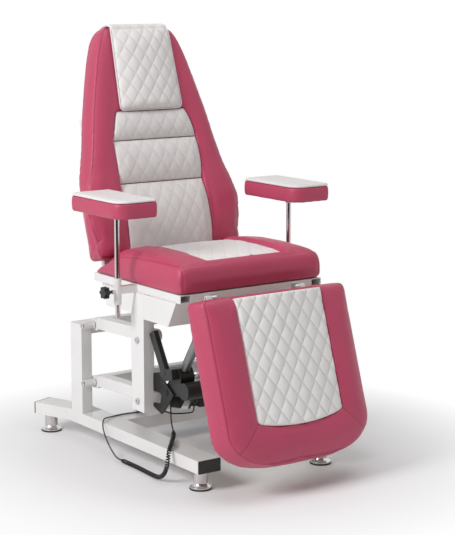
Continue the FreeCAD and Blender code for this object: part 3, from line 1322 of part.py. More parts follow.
slot = block(handset_x - clip_w * half, handset_x + clip_w * half, holder_y - holder_t - clip_gap,
             holder_y + clip_gap, holder_top - clip_h, holder_top + clip_gap)
save("handset", [shell.fuse(boot).removeSplitter(), clip.cut(slot)])
for i, key in enumerate(keys):
    save("handset_key_" + str(i + 1), key)
holder = block(handset_x - holder_w * half, handset_x + holder_w * half, holder_y - holder_t, holder_y,
               rail_top, holder_top)
holder = soften(holder, [e for e in along(holder, Y) if e.BoundBox.ZMin > rail_top + 1], foot_round)
foot_tab = block(handset_x - holder_w * half, handset_x + holder_w * half, holder_y, cross_y1, rail_top,
                 rail_top + holder_t)
save("base_cross_tube", [cross_tube, holder.fuse(foot_tab).removeSplitter()] + lift_mount)


# Cords
def unit(v):
    return v.multiply(1 / v.Length)


def bent_path(points, show=""):
    """Straight runs joined by tangent arcs. Returns the edges and the radii of the arcs."""
    p = [vec(*q) for q in points]
    edges, radii = [], []
    start = p[0]
    for i in range(1, len(p) - 1):
        before, after = p[i] - p[i - 1], p[i + 1] - p[i]
        turn = before.getAngle(after)
        trim = bend_share * min(before.Length, after.Length)
        radii.append(trim / math.tan(turn * half))
        a = p[i] - unit(vec(*before)) * trim
        b = p[i] + unit(vec(*after)) * trim
        bisector = unit(unit(vec(*after)) - unit(vec(*before)))
        middle = p[i] + bisector * (radii[-1] / math.cos(turn * half) - radii[-1])
        edges.append(Part.LineSegment(start, a).toShape())
        edges.append(Part.Arc(a, middle, b).toShape())
        start = b
    edges.append(Part.LineSegment(start, p[-1]).toShape())
    if show:
        print(show, "radii", [round(r) for r in radii], "length", round(sum(e.Length for e in edges)))
    return edges


def tube_along(edges, radius, show):
    start = edges[0].valueAt(edges[0].FirstParameter)
    way = edges[0].tangentAt(edges[0].FirstParameter)
    section = Part.Wire(Part.Circle(start, way, radius).toShape())
    tube = Part.Wire(edges).makePipeShell([section], True, False)
    length = sum(e.Length for e in edges)
    print(show, "volume over section times length", round(tube.Volume / (math.pi * radius ** 2 * length), 4))
    return tube


def biarc(p0, t0, p1, t1):
    """Two tangent arcs from one point and direction to the next."""
    v, t = p1 - p0, t0 + t1
    k = 2 * (1 - t0.dot(t1))
    d = (-v.dot(t) + math.sqrt(v.dot(t) ** 2 + k * v.dot(v))) / k
    joint = (p0 + t0 * d + p1 - t1 * d) * half
    return [arc_from(p0, t0, joint), arc_from(p1, t1 * -1, joint, True)]


def arc_from(p, t, q, back=False):
    chord = q - p
    way = unit(vec(*chord))
    angle = t.getAngle(chord)
    out = unit(t - way * t.dot(way))
    middle = (p + q) * half + out * (chord.Length * half * math.tan(angle * half))
    return Part.Arc(q, middle, p).toShape() if back else Part.Arc(p, middle, q).toShape()


def curly(edges):
    """The curls of the spring cord: a helix about the middle line that closes in at both ends."""
    count = curl_turns * curl_steps
    total = sum(e.Length for e in edges) - curl_lead * 2
    weights = [curl_fade_stretch if i < curl_fade or i >= count - curl_fade else 1 for i in range(count)]
    stops = [path_at(edges, curl_lead + total * sum(weights[:i]) / sum(weights)) for i in range(count + 1)]
    side = unit(X.cross(stops[0][1]))
    centre_r = curl_out_r - curl_wire_r
    frames = []
    for point, way in stops:
        side = unit(side - way * side.dot(way))
        frames.append((point, way, side, way.cross(side)))
    points = []
    for i, (point, way, a, b) in enumerate(frames):
        fade = min(1, i / curl_fade, (count - i) / curl_fade)
        angle = 2 * math.pi * i / curl_steps
        points.append(point + (a * math.cos(angle) + b * math.sin(angle)) * (centre_r * fade))
    ways = [frames[0][1]]
    for i in range(1, count):
        ways.append(unit(points[i + 1] - points[i - 1]))
    ways.append(frames[-1][1])
    arcs = [Part.LineSegment(path_at(edges, 0)[0], points[0]).toShape()]
    for i in range(count):
        arcs.extend(biarc(points[i], ways[i], points[i + 1], ways[i + 1]))
    arcs.append(Part.LineSegment(points[-1], path_at(edges, total + curl_lead * 2)[0]).toShape())
    return arcs


def path_at(edges, s):
    for edge in edges:
        if s <= edge.Length or edge is edges[-1]:
            t = edge.getParameterByLength(min(s, edge.Length))
            return edge.valueAt(t), edge.tangentAt(t)
        s -= edge.Length


thin_cords = (("cord_drop", drop_points), ("cord_rise", rise_points))
for name, points in thin_cords:
    save(name, tube_along(bent_path(points, name), cord_r, name))
for i, points in enumerate(lead_points):
    name = "motor lead " + str(i + 1)
    control_parts.append(tube_along(bent_path(points, name), lead_r, name))
save("control_box", control_parts)
curly_line = bent_path(curl_points, "curly middle line")
curl_arcs = curly(curly_line)


def least_gap(edges, steps):
    """Least gap between turns, measured on points along the wound line."""
    marks = []
    for edge in edges[1:-1]:
        for i in range(steps):
            marks.append(edge.valueAt(edge.FirstParameter
                                      + (edge.LastParameter - edge.FirstParameter) * i / steps))
    near = curl_steps * 2 * steps
    least = min((marks[i] - marks[j]).Length
                for i in range(len(marks)) for j in range(i + near // 2, min(i + near * 2, len(marks))))
    return least - curl_wire_r * 2


start = curl_arcs[0]
way = start.tangentAt(start.FirstParameter)
first = start.valueAt(start.FirstParameter)
corner = unit(X.cross(way))
other = way.cross(corner)
corners = []
for i in range(curl_sides + 1):
    angle = 2 * math.pi * (i % curl_sides) / curl_sides
    corners.append(first + (corner * math.cos(angle) + other * math.sin(angle)) * curl_wire_r)
curls = Part.Wire(curl_arcs).makePipeShell([Part.makePolygon(corners)], True, False)
length = sum(e.Length for e in curl_arcs)
area = curl_sides * half * curl_wire_r ** 2 * math.sin(2 * math.pi / curl_sides)
print("curls", curl_turns, "wire length", round(length), "least gap", round(least_gap(curl_arcs, 4), 2),
      "volume over section times length", round(curls.Volume / (area * length), 4),
      "lowest", round(curls.BoundBox.ZMin, 2))
save("cord_curly", curls)
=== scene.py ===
import json
import math

import bmesh
import bpy
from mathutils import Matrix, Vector


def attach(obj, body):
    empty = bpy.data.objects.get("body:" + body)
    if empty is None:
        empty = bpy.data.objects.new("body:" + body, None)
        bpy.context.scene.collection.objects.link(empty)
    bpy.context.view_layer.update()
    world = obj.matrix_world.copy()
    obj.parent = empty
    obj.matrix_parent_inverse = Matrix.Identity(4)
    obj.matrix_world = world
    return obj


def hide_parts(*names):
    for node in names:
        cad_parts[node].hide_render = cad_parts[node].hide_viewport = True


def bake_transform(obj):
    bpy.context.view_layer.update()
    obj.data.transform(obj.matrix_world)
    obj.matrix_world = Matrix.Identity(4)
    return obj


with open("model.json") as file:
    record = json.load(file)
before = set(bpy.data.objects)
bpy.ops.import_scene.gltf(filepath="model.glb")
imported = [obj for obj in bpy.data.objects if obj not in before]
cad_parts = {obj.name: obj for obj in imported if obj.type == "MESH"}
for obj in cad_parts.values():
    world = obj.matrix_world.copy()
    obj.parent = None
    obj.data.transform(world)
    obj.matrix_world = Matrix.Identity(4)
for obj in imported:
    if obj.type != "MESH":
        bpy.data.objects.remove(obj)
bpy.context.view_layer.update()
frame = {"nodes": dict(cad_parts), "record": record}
nodes = frame["nodes"]
scene = bpy.context.scene

# Podiatry chair: looks. Metres, in the frame of the CAD model.

# Places are given here from the middle of the base. The CAD model's origin lies this far ahead
# of it.
origin_y = 0.089945

# Camera, and lamps with their place, watts and size
camera_at = (-2.9412, -4.3693, 1.5190)
camera_turn_deg = (80.068, 0.0, -35.432)
lens_mm = 110.42
sensor_mm = 36.0
ambient = 0.28
lamps = (("key", (-3.7, -0.6, 2.7), 118.0, 1.6), ("top", (0.3, -0.6, 3.6), 30.0, 2.4),
         ("front", (-0.6, -4.6, 1.4), 4.0, 1.8))
aim_at = (0.0, -0.1, 0.7)
floor_r = 3.0
floor_sides = 96
floor_tone = (0.93, 0.925, 0.935)
fade_from, fade_to = 0.17, 0.36

# Dark board behind the camera, seen only in reflections
flag_away = 2.4
flag_half_w = 2.6
flag_h = 2.6
flag_level = 0.03

# Cushion frames: place and tilt of the face, as in the CAD model
back_y, back_z, back_tilt_deg = 0.084 + origin_y, 0.668, 15.65
leg_y, leg_z, leg_tilt_deg = -0.491 + origin_y, 0.581, 18.0

# Pink shells: size of the remesh, how far the cloth may swell, how far it is taken in before that,
# its run, the weight under which a point stays pinned, depth and reach of a sewn edge, and the
# distance to a seam where there is none
voxel = 0.0065
swell_cap = 0.007
shrink = 0.003
sim_frames = 20
pressure = 4.0
hold = 0.05
seam_depth = 0.0016
seam_sigma = 0.0032
unsewn = 1.0

# Quilting: size of the mesh, reach of a rolled border, shape and spread of the stuffed diamonds,
# their heights, how far each panel sinks into its cushion and how far its border lies lower
grid = 0.0025
rim_reach = 0.012
puff_power = 0.42
puff_least, puff_spread = 0.82, 0.3
leg_puff, seat_puff, roll_puff, pillow_puff, flap_puff = 0.0052, 0.0018, 0.0018, 0.0034, 0.0016
leg_sink, seat_sink, roll_sink, pillow_sink = 0.0025, 0.001, 0.0015, 0.0012
leg_border, seat_border, roll_border = 0.004, 0.003, 0.002
diamond_w, diamond_h = 0.0483, 0.0735
quilt_u0, quilt_v0 = -0.0036, -0.0123
pillow_diamond_w, pillow_diamond_h = 0.047, 0.064
pillow_quilt_u0, pillow_quilt_v0 = -0.007, 0.499

# White panels: half widths, places v along the cushion's face and heights n over it, or over the
# floor on the seat. A roll's row has both its ends, the half width at each, and its height.
seat_panel_w = 0.160
seat_panel_rows = ((-0.337, 0.666), (-0.318, 0.676), (-0.270, 0.683), (-0.180, 0.687),
                   (-0.090, 0.687), (-0.020, 0.681), (0.016, 0.671), (0.060, 0.642))
seat_panel_v0, seat_panel_v1 = seat_panel_rows[0][0], seat_panel_rows[-1][0]
seat_panel_drop = 0.0086
seat_panel_bow = 0.003
leg_panel_w = 0.161
leg_panel_v0, leg_panel_v1 = -0.391, 0.008
leg_panel_n0, leg_panel_side, leg_panel_crest = -0.0056, 0.014, 0.023
leg_panel_round = 0.014
leg_panel_bow = 0.020
leg_gap = 0.0002
roll_rows = ((-0.026, 0.206, 0.161, 0.161, 0.036), (0.208, 0.348, 0.161, 0.161, 0.022),
             (0.350, 0.446, 0.161, 0.133, 0.018))
roll_base = -0.0116
roll_side = 0.002
roll_rise = ((0.0, 1.0), (0.8, 0.86), (1.0, 0.55))
roll_power = 2.3
roll_border_reach = 0.014
roll_quilt_v0 = -0.02
roll_gap = 0.0006
pillow_w = 0.119
pillow_v0, pillow_v1 = 0.448, 0.716
pillow_n0 = 0.0029
pillow_edge, pillow_crest = 0.011, 0.030
pillow_foot_edge, pillow_foot_crest = 0.45, 0.010
pillow_foot_reach, pillow_corner_reach, pillow_head_reach = 0.030, 0.020, 0.070
pillow_corner_in = 0.011
pillow_power = 2.6
pillow_border_reach, pillow_border_share = 0.010, 0.35
flap_line = ((0.7164, 0.0032), (0.7250, 0.0030), (0.7325, -0.0120), (0.7356, -0.0370),
             (0.7325, -0.0620), (0.7250, -0.0772), (0.7000, -0.0768), (0.6400, -0.0764))
flap_w = 0.110
flap_t = 0.006
flap_step = 0.004
welt_r = 0.0024
welt_out, welt_up = 0.4, 0.72

# Arm pads
arm_x, arm_pad_y = 0.332, -0.101 + origin_y
arm_pad_w, arm_pad_len = 0.145, 0.285
arm_pad_z0, arm_band_z1, arm_pad_z1 = 0.8122, 0.860, 0.872
arm_front_r, arm_corner_r = 0.046, 0.016

# Cord of the handset: its radius in the CAD model and here, the radius of its curls' middle line,
# the curls and how many of them open out at each end, and the heights between which it stretches
cord_r = 0.0025
cord_tube_r = cord_r * 0.9
curl_r = 0.0052
curl_turns = 62
curl_ease_turns = 2.0
points_per_turn = 12
drop_points = ((-0.195, -0.203, 0.2077), (-0.195, -0.203, 0.176), (-0.194484, -0.205742, 0.150),
               (-0.195, -0.214, 0.134))
curl_points = ((-0.1955, -0.222, 0.1185), (-0.230, -0.262, 0.111), (-0.260, -0.304, 0.118),
               (-0.285, -0.331, 0.112), (-0.297, -0.341, 0.088), (-0.299, -0.337, 0.058),
               (-0.297, -0.318, 0.029), (-0.293, -0.284, 0.0105), (-0.289, -0.240, 0.0077),
               (-0.286, -0.190, 0.0077), (-0.283, -0.138, 0.0077), (-0.283, -0.088, 0.0077),
               (-0.285, -0.045, 0.009))
rise_points = ((-0.28607, -0.022, 0.009695), (-0.288, 0.008, 0.032), (-0.290, 0.036, 0.062),
               (-0.288, 0.058, 0.095), (-0.270, 0.082, 0.113), (-0.240, 0.103, 0.108),
               (-0.204, 0.117, 0.1049), (-0.168, 0.121, 0.1049), (-0.134, 0.116, 0.1049),
               (-0.110, 0.111, 0.1054), (-0.098, 0.110, 0.1086), (-0.0952, 0.110, 0.1147))


# Small helpers
def clamp(value, low=0.0, high=1.0):
    return max(low, min(high, value))


def moved(point):
    """A place given from the middle of the base, in the model's own frame."""
    return point[0], point[1] + origin_y, point[2]


def smooth(value, low, high):
    """0 below low, 1 above high, and an even turn between them."""
    t = clamp((value - low) / (high - low))
    return t * t * (3 - 2 * t)


def between(rows, at):
    """Straight interpolation in a list of (position, value) rows."""
    if at <= rows[0][0]:
        return rows[0][1]
    for (a, p), (b, q) in zip(rows, rows[1:]):
        if at <= b:
            return p + (q - p) * (at - a) / (b - a)
    return rows[-1][1]


class Lay:
    """A cushion's own frame: u across, v up along the face, n out of the face."""

    def __init__(self, y, z, tilt_deg):
        self.y, self.z = y, z
        self.s, self.c = math.sin(math.radians(tilt_deg)), math.cos(math.radians(tilt_deg))

    def out(self, u, v, n):
        """A place of this frame, in the model's."""
        return Vector((u, self.y + v * self.s - n * self.c, self.z + v * self.c + n * self.s))

    def back(self, p):
        """A place of the model, in this frame."""
        dy, dz = p.y - self.y, p.z - self.z
        return p.x, dy * self.s + dz * self.c, dz * self.s - dy * self.c


back_lay = Lay(back_y, back_z, back_tilt_deg)
leg_lay = Lay(leg_y, leg_z, leg_tilt_deg)
seat_lay = Lay(origin_y, 0.0, 90.0)


# Materials: rounding of the edges, stitches along one side of a diamond, the gap's share of a
# stitch, and how far from its seam the painted crease shade reaches
paint_edge_r, mould_edge_r, plate_edge_r = 0.0016, 0.0012, 0.0008
stitches = 9.0
stitch_gap = 0.3
cm_per_m = 100.0
seam_shade_cm = 0.16


def new_material(name, **inputs):
    mat = bpy.data.materials.new(name)
    mat.use_nodes = True
    tree = mat.node_tree
    skin = tree.nodes["Principled BSDF"]
    for key, value in inputs.items():
        skin.inputs[key.replace("_", " ")].default_value = value
    return mat, tree, skin


def put(tree, kind, links=None, **settings):
    """Adds a shader node; links maps an input name or number to a socket or a constant."""
    made = tree.nodes.new(kind)
    for key, value in settings.items():
        setattr(made, key, value)
    for key, value in (links or {}).items():
        if isinstance(value, bpy.types.NodeSocket):
            tree.links.new(value, made.inputs[key])
        else:
            made.inputs[key].default_value = value
    return made


def place(tree):
    return put(tree, "ShaderNodeTexCoord").outputs["Object"]


def noise(tree, where, scale, detail=2.0, rough=0.5):
    links = {"Vector": where, "Scale": scale, "Detail": detail, "Roughness": rough}
    return put(tree, "ShaderNodeTexNoise", links).outputs["Fac"]


def ramp(tree, value, stops):
    made = put(tree, "ShaderNodeValToRGB", {"Fac": value})
    points = made.color_ramp.elements
    while len(points) < len(stops):
        points.new(0.5)
    for point, (at, colour) in zip(points, stops):
        point.position = at
        point.color = tuple(colour) + (1.0,) if len(colour) == 3 else colour
    return made.outputs["Color"]


def grey(level):
    return (level, level, level)


def scaled(colour, by):
    return tuple(c * by for c in colour)


def clouds(tree, where, scale, detail, low, high):
    """Noise as tones: low and high give a noise value and the tone there."""
    return ramp(tree, noise(tree, where, scale, detail), (low, high))


def wire(tree, skin, **tones):
    """Links a surface's colour, roughness and normal to what gives them."""
    for key, value in tones.items():
        tree.links.new(value, skin.inputs[key.replace("_", " ")])


def math_node(tree, kind, a, b=0.0, c=0.0):
    return put(tree, "ShaderNodeMath", {0: a, 1: b, 2: c}, operation=kind).outputs[0]


def mix_colour(tree, share, a, b):
    made = put(tree, "ShaderNodeMix", {"Factor": share}, data_type="RGBA")
    for spot, value in ((6, a), (7, b)):
        if isinstance(value, bpy.types.NodeSocket):
            tree.links.new(value, made.inputs[spot])
        else:
            made.inputs[spot].default_value = tuple(value) + (1.0,)
    return made.outputs[2]


def bump(tree, height, strength, distance, normal=None):
    links = {"Height": height, "Strength": strength, "Distance": distance}
    if normal is not None:
        links["Normal"] = normal
    return put(tree, "ShaderNodeBump", links).outputs["Normal"]


def soft_edge(tree, radius):
    return put(tree, "ShaderNodeBevel", {"Radius": radius}, samples=4).outputs["Normal"]


def edge_mask(tree, radius):
    """1 along the rounded edges of a hard part, 0 on its flats."""
    round_n = soft_edge(tree, radius)
    flat_n = put(tree, "ShaderNodeNewGeometry").outputs["Normal"]
    dot = put(tree, "ShaderNodeVectorMath", {0: round_n, 1: flat_n}, operation="DOT_PRODUCT")
    return math_node(tree, "SUBTRACT", 1.0, dot.outputs["Value"]), round_n


def powder_coat(name, colour, rough, wear):
    """Powder coated steel: fine orange peel, thumbed patches, edges rubbed a little."""
    mat, tree, skin = new_material(name, Specular_IOR_Level=0.5, Coat_Weight=0.15,
                                   Coat_Roughness=0.2)
    where = place(tree)
    tone = clouds(tree, where, 9.0, 3.0, (0.3, scaled(colour, 0.955)), (0.7, colour))
    mask, round_n = edge_mask(tree, paint_edge_r)
    chips = clouds(tree, where, 240.0, 4.0, (0.52, grey(0.0)), (0.68, grey(1.0)))
    edges = ramp(tree, mask, ((0.04, grey(0.0)), (0.3, grey(wear))))
    rubbed = math_node(tree, "MULTIPLY", edges, chips)
    wire(tree, skin, Base_Color=mix_colour(tree, rubbed, tone, scaled(colour, 0.62)),
         Roughness=clouds(tree, where, 16.0, 4.0, (0.3, grey(rough)), (0.75, grey(rough + 0.12))),
         Normal=bump(tree, noise(tree, where, 620.0), 0.25, 0.0003, round_n))
    return mat


def moulded(name, colour, rough, grain, grain_depth):
    """Moulded plastic or rubber with a fine sparked texture and dust in its tone."""
    mat, tree, skin = new_material(name, Specular_IOR_Level=0.45)
    where = place(tree)
    tone = clouds(tree, where, 28.0, 4.0, (0.35, scaled(colour, 0.8)), (0.75, scaled(colour, 1.5)))
    mask, round_n = edge_mask(tree, mould_edge_r)
    worn = ramp(tree, mask, ((0.05, grey(0.0)), (0.45, grey(0.5))))
    dull = clouds(tree, where, 60.0, 3.0, (0.3, grey(rough - 0.07)), (0.7, grey(rough + 0.1)))
    wire(tree, skin, Base_Color=mix_colour(tree, worn, tone, scaled(colour, 3.2)), Roughness=dull,
         Normal=bump(tree, noise(tree, where, grain), 0.5, grain_depth, round_n))
    return mat


def bare_metal(name, colour, rough, streak):
    """Plated or drawn metal: fine streaks along one way, slight smudges."""
    mat, tree, skin = new_material(name, Metallic=1.0)
    where = place(tree)
    drawn = put(tree, "ShaderNodeMapping", {"Vector": where, "Scale": streak}).outputs["Vector"]
    lines = noise(tree, drawn, 90.0, 3.0)
    wire(tree, skin,
         Base_Color=clouds(tree, where, 22.0, 3.0, (0.3, scaled(colour, 0.9)), (0.7, colour)),
         Roughness=ramp(tree, lines, ((0.25, grey(rough)), (0.8, grey(rough * 1.6 + 0.03)))),
         Normal=bump(tree, lines, 0.12, 0.0002, soft_edge(tree, plate_edge_r)))
    return mat


def plywood(name):
    """Bare plywood: grain that runs across the chair."""
    mat, tree, skin = new_material(name, Roughness=0.7, Specular_IOR_Level=0.3)
    stretch = {"Vector": place(tree), "Scale": (1.0, 6.0, 6.0)}
    drawn = put(tree, "ShaderNodeMapping", stretch).outputs["Vector"]
    grain = noise(tree, drawn, 14.0, 6.0, 0.6)
    tone = ramp(tree, grain, ((0.3, (0.42, 0.28, 0.15)), (0.7, (0.63, 0.47, 0.29))))
    wire(tree, skin, Base_Color=tone, Normal=bump(tree, grain, 0.3, 0.0004))
    return mat


def leather_grain(tree, where, normal=None):
    """Pebbled grain of coated upholstery leather."""
    cells = put(tree, "ShaderNodeTexVoronoi", {"Vector": where, "Scale": 620.0, "Randomness": 1.0},
                feature="DISTANCE_TO_EDGE").outputs["Distance"]
    pebble = ramp(tree, cells, ((0.0, grey(0.0)), (0.22, grey(1.0))))
    grained = bump(tree, pebble, 0.22, 0.00012, normal)
    return bump(tree, noise(tree, where, 70.0, 3.0), 0.18, 0.0008, grained)


def seam_line(tree, part):
    """Signed distance to one seam, kept on the mesh as a component of the attribute."""
    kept = put(tree, "ShaderNodeAttribute", attribute_name="seam").outputs["Vector"]
    return put(tree, "ShaderNodeSeparateXYZ", {"Vector": kept}).outputs[part]


def leather(name, colour, shade_tone, rough, seams=True):
    """Coated leather: grain, tone clouds and painted shade darkening the crease along each sewn
    edge.
    """
    mat, tree, skin = new_material(name, Specular_IOR_Level=0.42, Sheen_Weight=0.06,
                                   Sheen_Roughness=0.4)
    where = place(tree)
    tone = clouds(tree, where, 5.0, 4.0, (0.3, scaled(colour, 0.94)), (0.72, colour))
    if seams:
        seam_shades = []
        for part in ("X", "Y"):
            off = math_node(tree, "ABSOLUTE", seam_line(tree, part))
            off_cm = math_node(tree, "MULTIPLY", off, cm_per_m)
            seam_shades.append(ramp(tree, off_cm, ((0.0, grey(1.0)), (seam_shade_cm, grey(0.0)))))
        shown = math_node(tree, "MULTIPLY", seam_shades[1], seam_line(tree, "Z"))
        crease_shade = math_node(tree, "MAXIMUM", seam_shades[0], shown)
        # Painted shade: near each seam the tone is darkened towards the shade tone, standing in for
        # the shade in the groove
        tone = mix_colour(tree, math_node(tree, "MULTIPLY", crease_shade, 0.75), tone, shade_tone)
    dull = clouds(tree, where, 34.0, 4.0, (0.3, grey(rough)), (0.7, grey(rough + 0.1)))
    wire(tree, skin, Base_Color=tone, Roughness=dull, Normal=leather_grain(tree, where))
    return mat


def quilted(name, colour, shade_tone, wide, high, rough, shade_share=0.5):
    """Quilted leather: the panel's UV runs in metres, so the stitch lines follow the diamonds."""
    mat, tree, skin = new_material(name, Specular_IOR_Level=0.4, Sheen_Weight=0.08,
                                   Sheen_Roughness=0.4)
    where = place(tree)
    uv = put(tree, "ShaderNodeUVMap", uv_map="panel").outputs["UV"]
    split = put(tree, "ShaderNodeSeparateXYZ", {"Vector": uv})
    across = math_node(tree, "DIVIDE", split.outputs["X"], wide)
    along = math_node(tree, "DIVIDE", split.outputs["Y"], high)
    near, dashes = [], []
    for kind, other in (("ADD", "SUBTRACT"), ("SUBTRACT", "ADD")):
        line = math_node(tree, "FRACT", math_node(tree, kind, across, along))
        step = math_node(tree, "ABSOLUTE", math_node(tree, "SUBTRACT", line, 0.5))
        near.append(math_node(tree, "SUBTRACT", 0.5, step))
        run = math_node(tree, "MULTIPLY", math_node(tree, other, across, along), stitches)
        dashes.append(math_node(tree, "GREATER_THAN", math_node(tree, "FRACT", run), stitch_gap))
    # Painted shade: the tone is darkened towards the shade tone in the valleys along the quilting's
    # lines, by the shade share
    crease_shade = [ramp(tree, n, ((0.0, grey(1.0)), (0.06, grey(0.0)))) for n in near]
    valley_shade = math_node(tree, "MAXIMUM", crease_shade[0], crease_shade[1])
    tone = clouds(tree, where, 7.0, 4.0, (0.3, scaled(colour, 0.95)), (0.7, colour))
    tone = mix_colour(tree, math_node(tree, "MULTIPLY", valley_shade, shade_share), tone, shade_tone)
    thread = [math_node(tree, "MULTIPLY", ramp(tree, n, ((0.008, grey(1.0)), (0.02, grey(0.0)))), d)
              for n, d in zip(near, dashes)]
    stitch = math_node(tree, "MAXIMUM", thread[0], thread[1])
    tone = mix_colour(tree, math_node(tree, "MULTIPLY", stitch, 0.7), tone, scaled(colour, 1.06))
    dull = clouds(tree, where, 40.0, 4.0, (0.3, grey(rough)), (0.7, grey(rough + 0.12)))
    wire(tree, skin, Base_Color=tone, Roughness=dull,
         Normal=leather_grain(tree, where, bump(tree, stitch, 0.6, 0.0005)))
    return mat


# The darker tone given with each leather is painted shade, laid along its seams and quilting
# valleys
pink = (0.50, 0.060, 0.128)
pink_crease_shade = (0.21, 0.018, 0.048)
pale = (0.80, 0.775, 0.765)
pale_crease_shade = (0.50, 0.48, 0.47)
bright_pale = (0.88, 0.858, 0.848)
dull_pale = (0.74, 0.71, 0.70)
along_z = (1.0, 1.0, 0.06)
pale_rough = 0.46
# The seat and the rolls get fainter painted shade in their quilting valleys
flat_shade_share = 0.22
looks = {
    "white_paint": powder_coat("white_powder_coat", (0.80, 0.785, 0.78), rough=0.34, wear=0.8),
    "dark_plastic": moulded("black_moulding", (0.012, 0.012, 0.013), rough=0.40, grain=1500.0,
                            grain_depth=0.0003),
    "black_paint": moulded("black_powder_coat", (0.008, 0.008, 0.009), rough=0.5, grain=620.0,
                           grain_depth=0.0003),
    "chrome": bare_metal("chrome_plate", (0.66, 0.63, 0.63), rough=0.09, streak=along_z),
    "bright_steel": bare_metal("zinc_plate", (0.60, 0.60, 0.61), rough=0.28, streak=along_z),
    "alloy": bare_metal("satin_alloy", (0.30, 0.30, 0.31), rough=0.30, streak=along_z),
    "rubber": moulded("foot_rubber", (0.011, 0.011, 0.012), rough=0.62, grain=700.0,
                      grain_depth=0.0004),
    "board": plywood("plywood"),
    "pink_leather": leather("pink_leather", pink, pink_crease_shade, rough=0.40),
    "pale_leather": leather("plain_pale_leather", pale, pale_crease_shade, pale_rough, seams=False),
    "key_grey": moulded("key_rubber", (0.16, 0.165, 0.175), rough=0.5, grain=900.0,
                        grain_depth=0.0003),
}
quilt = quilted("quilted_leather", bright_pale, pale_crease_shade, diamond_w, diamond_h, pale_rough)
seat_leather = quilted("seat_quilted_leather", bright_pale, pale_crease_shade, diamond_w, diamond_h,
                       pale_rough, flat_shade_share)
roll_leather = quilted("roll_quilted_leather", dull_pale, pale_crease_shade, diamond_w, diamond_h,
                       pale_rough, flat_shade_share)
pillow_quilt = quilted("quilted_pillow", pale, pale_crease_shade, pillow_diamond_w, pillow_diamond_h,
                       pale_rough)
cord_skin = moulded("cord_jacket", (0.016, 0.016, 0.017), rough=0.36, grain=800.0,
                    grain_depth=0.0001)

for row in frame["record"]["subparts"]:
    held = nodes[row["node"]]
    held.data.materials.clear()
    held.data.materials.append(looks[row["material_slot"]])


# Mesh making
def linked(name, data):
    """A new object, put into the scene."""
    made = bpy.data.objects.new(name, data)
    scene.collection.objects.link(made)
    return made


def add_object(name, mesh, material, body, replaced=()):
    """A smooth piece that rides a body and stands for the replaced CAD nodes."""
    made = linked(name, mesh)
    mesh.materials.clear()
    mesh.materials.append(material)
    for face in mesh.polygons:
        face.use_smooth = True
    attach(made, body)
    if replaced:
        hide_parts(*replaced)
    return made


def face_outward(mesh):
    """Turns all faces of a closed mesh outward."""
    work = bmesh.new()
    work.from_mesh(mesh)
    bmesh.ops.recalc_face_normals(work, faces=work.faces)
    work.to_mesh(mesh)
    work.free()


def mesh_of(points, faces, name="shape"):
    mesh = bpy.data.meshes.new(name)
    mesh.from_pydata([tuple(p) for p in points], [], faces)
    mesh.validate()
    face_outward(mesh)
    return mesh


def tube_faces(rings, sides):
    """The faces between rings of points that follow each other."""
    return [(k * sides + i, k * sides + (i + 1) % sides, (k + 1) * sides + (i + 1) % sides,
             (k + 1) * sides + i) for k in range(rings - 1) for i in range(sides)]


def evaluated(data, kind=None, **settings):
    """A new mesh: a mesh with one modifier applied, or a curve as its tube or smooth line."""
    work = linked("work", data)
    if kind:
        mod = work.modifiers.new("work", kind)
        for key, value in settings.items():
            setattr(mod, key, value)
    depsgraph = bpy.context.evaluated_depsgraph_get()
    made = bpy.data.meshes.new_from_object(work.evaluated_get(depsgraph))
    bpy.data.objects.remove(work)
    return made


def patch(name, us, vs, top, base, uv=None):
    """A closed cushion panel: a fine top grid, side walls, and a coarse underside."""
    nu, nv = len(us), len(vs)
    points = [top(u, v) for v in vs for u in us]
    faces = [(j * nu + i, j * nu + i + 1, (j + 1) * nu + i + 1, (j + 1) * nu + i)
             for j in range(nv - 1) for i in range(nu - 1)]
    rim = list(range(nu)) + [j * nu + nu - 1 for j in range(1, nv)]
    rim += [(nv - 1) * nu + i for i in range(nu - 2, -1, -1)]
    rim += [j * nu for j in range(nv - 2, 0, -1)]
    low = {}
    for k in rim:
        j, i = divmod(k, nu)
        low[k] = len(points)
        points.append(base(us[i], vs[j]))
    for a, b in zip(rim, rim[1:] + rim[:1]):
        faces.append((a, b, low[b], low[a]))
    for j in range(nv - 1):
        left = [low[j * nu], low[(j + 1) * nu]]
        right = [low[j * nu + nu - 1], low[(j + 1) * nu + nu - 1]]
        first = [low[i] for i in range(1, nu - 1)] if j == 0 else []
        last = [low[(nv - 1) * nu + i] for i in range(nu - 2, 0, -1)] if j == nv - 2 else []
        faces.append(tuple([left[0]] + first + [right[0], right[1]] + last + [left[1]]))
    mesh = bpy.data.meshes.new(name)
    mesh.from_pydata([tuple(p) for p in points], [], faces)
    spots = [uv(u, v) if uv else (u, v) for v in vs for u in us]
    layer = mesh.uv_layers.new(name="panel")
    for loop in mesh.loops:
        k = loop.vertex_index
        layer.data[loop.index].uv = spots[k if k < len(spots) else 0]
    face_outward(mesh)
    return mesh


def steps(low, high):
    """Even places from low to high, about a grid's step apart."""
    count = max(2, round((high - low) / grid))
    return [low + (high - low) * i / count for i in range(count + 1)]


def shares_across(half_w):
    """Places from -1 to 1 across a panel whose width changes along it."""
    count = round(2 * half_w / grid)
    return [-1 + 2 * i / count for i in range(count + 1)]


def scatter(i, j):
    """A fixed number from 0 to 1 for one diamond, which looks random from one to the next."""
    kind = math.sin(i * 12.9898 + j * 78.233) * 43758.5453
    return kind - math.floor(kind)


def puff(u, v, wide, high, height):
    """Height of the quilting over its seams: stuffed diamonds that differ a little."""
    a, b = u / wide + v / high, u / wide - v / high
    i, j = math.floor(a), math.floor(b)
    lift = (math.sin(math.pi * (a - i)) * math.sin(math.pi * (b - j))) ** puff_power
    vary = puff_least + puff_spread * scatter(i, j)
    return height * lift * vary


def rim_fall(distance, reach=rim_reach):
    """1 inside a panel, 0 at its sewn border, falling off steeply like a rolled edge."""
    t = clamp(distance / reach)
    return math.sqrt(max(0.0, 1 - (1 - t) ** 2))


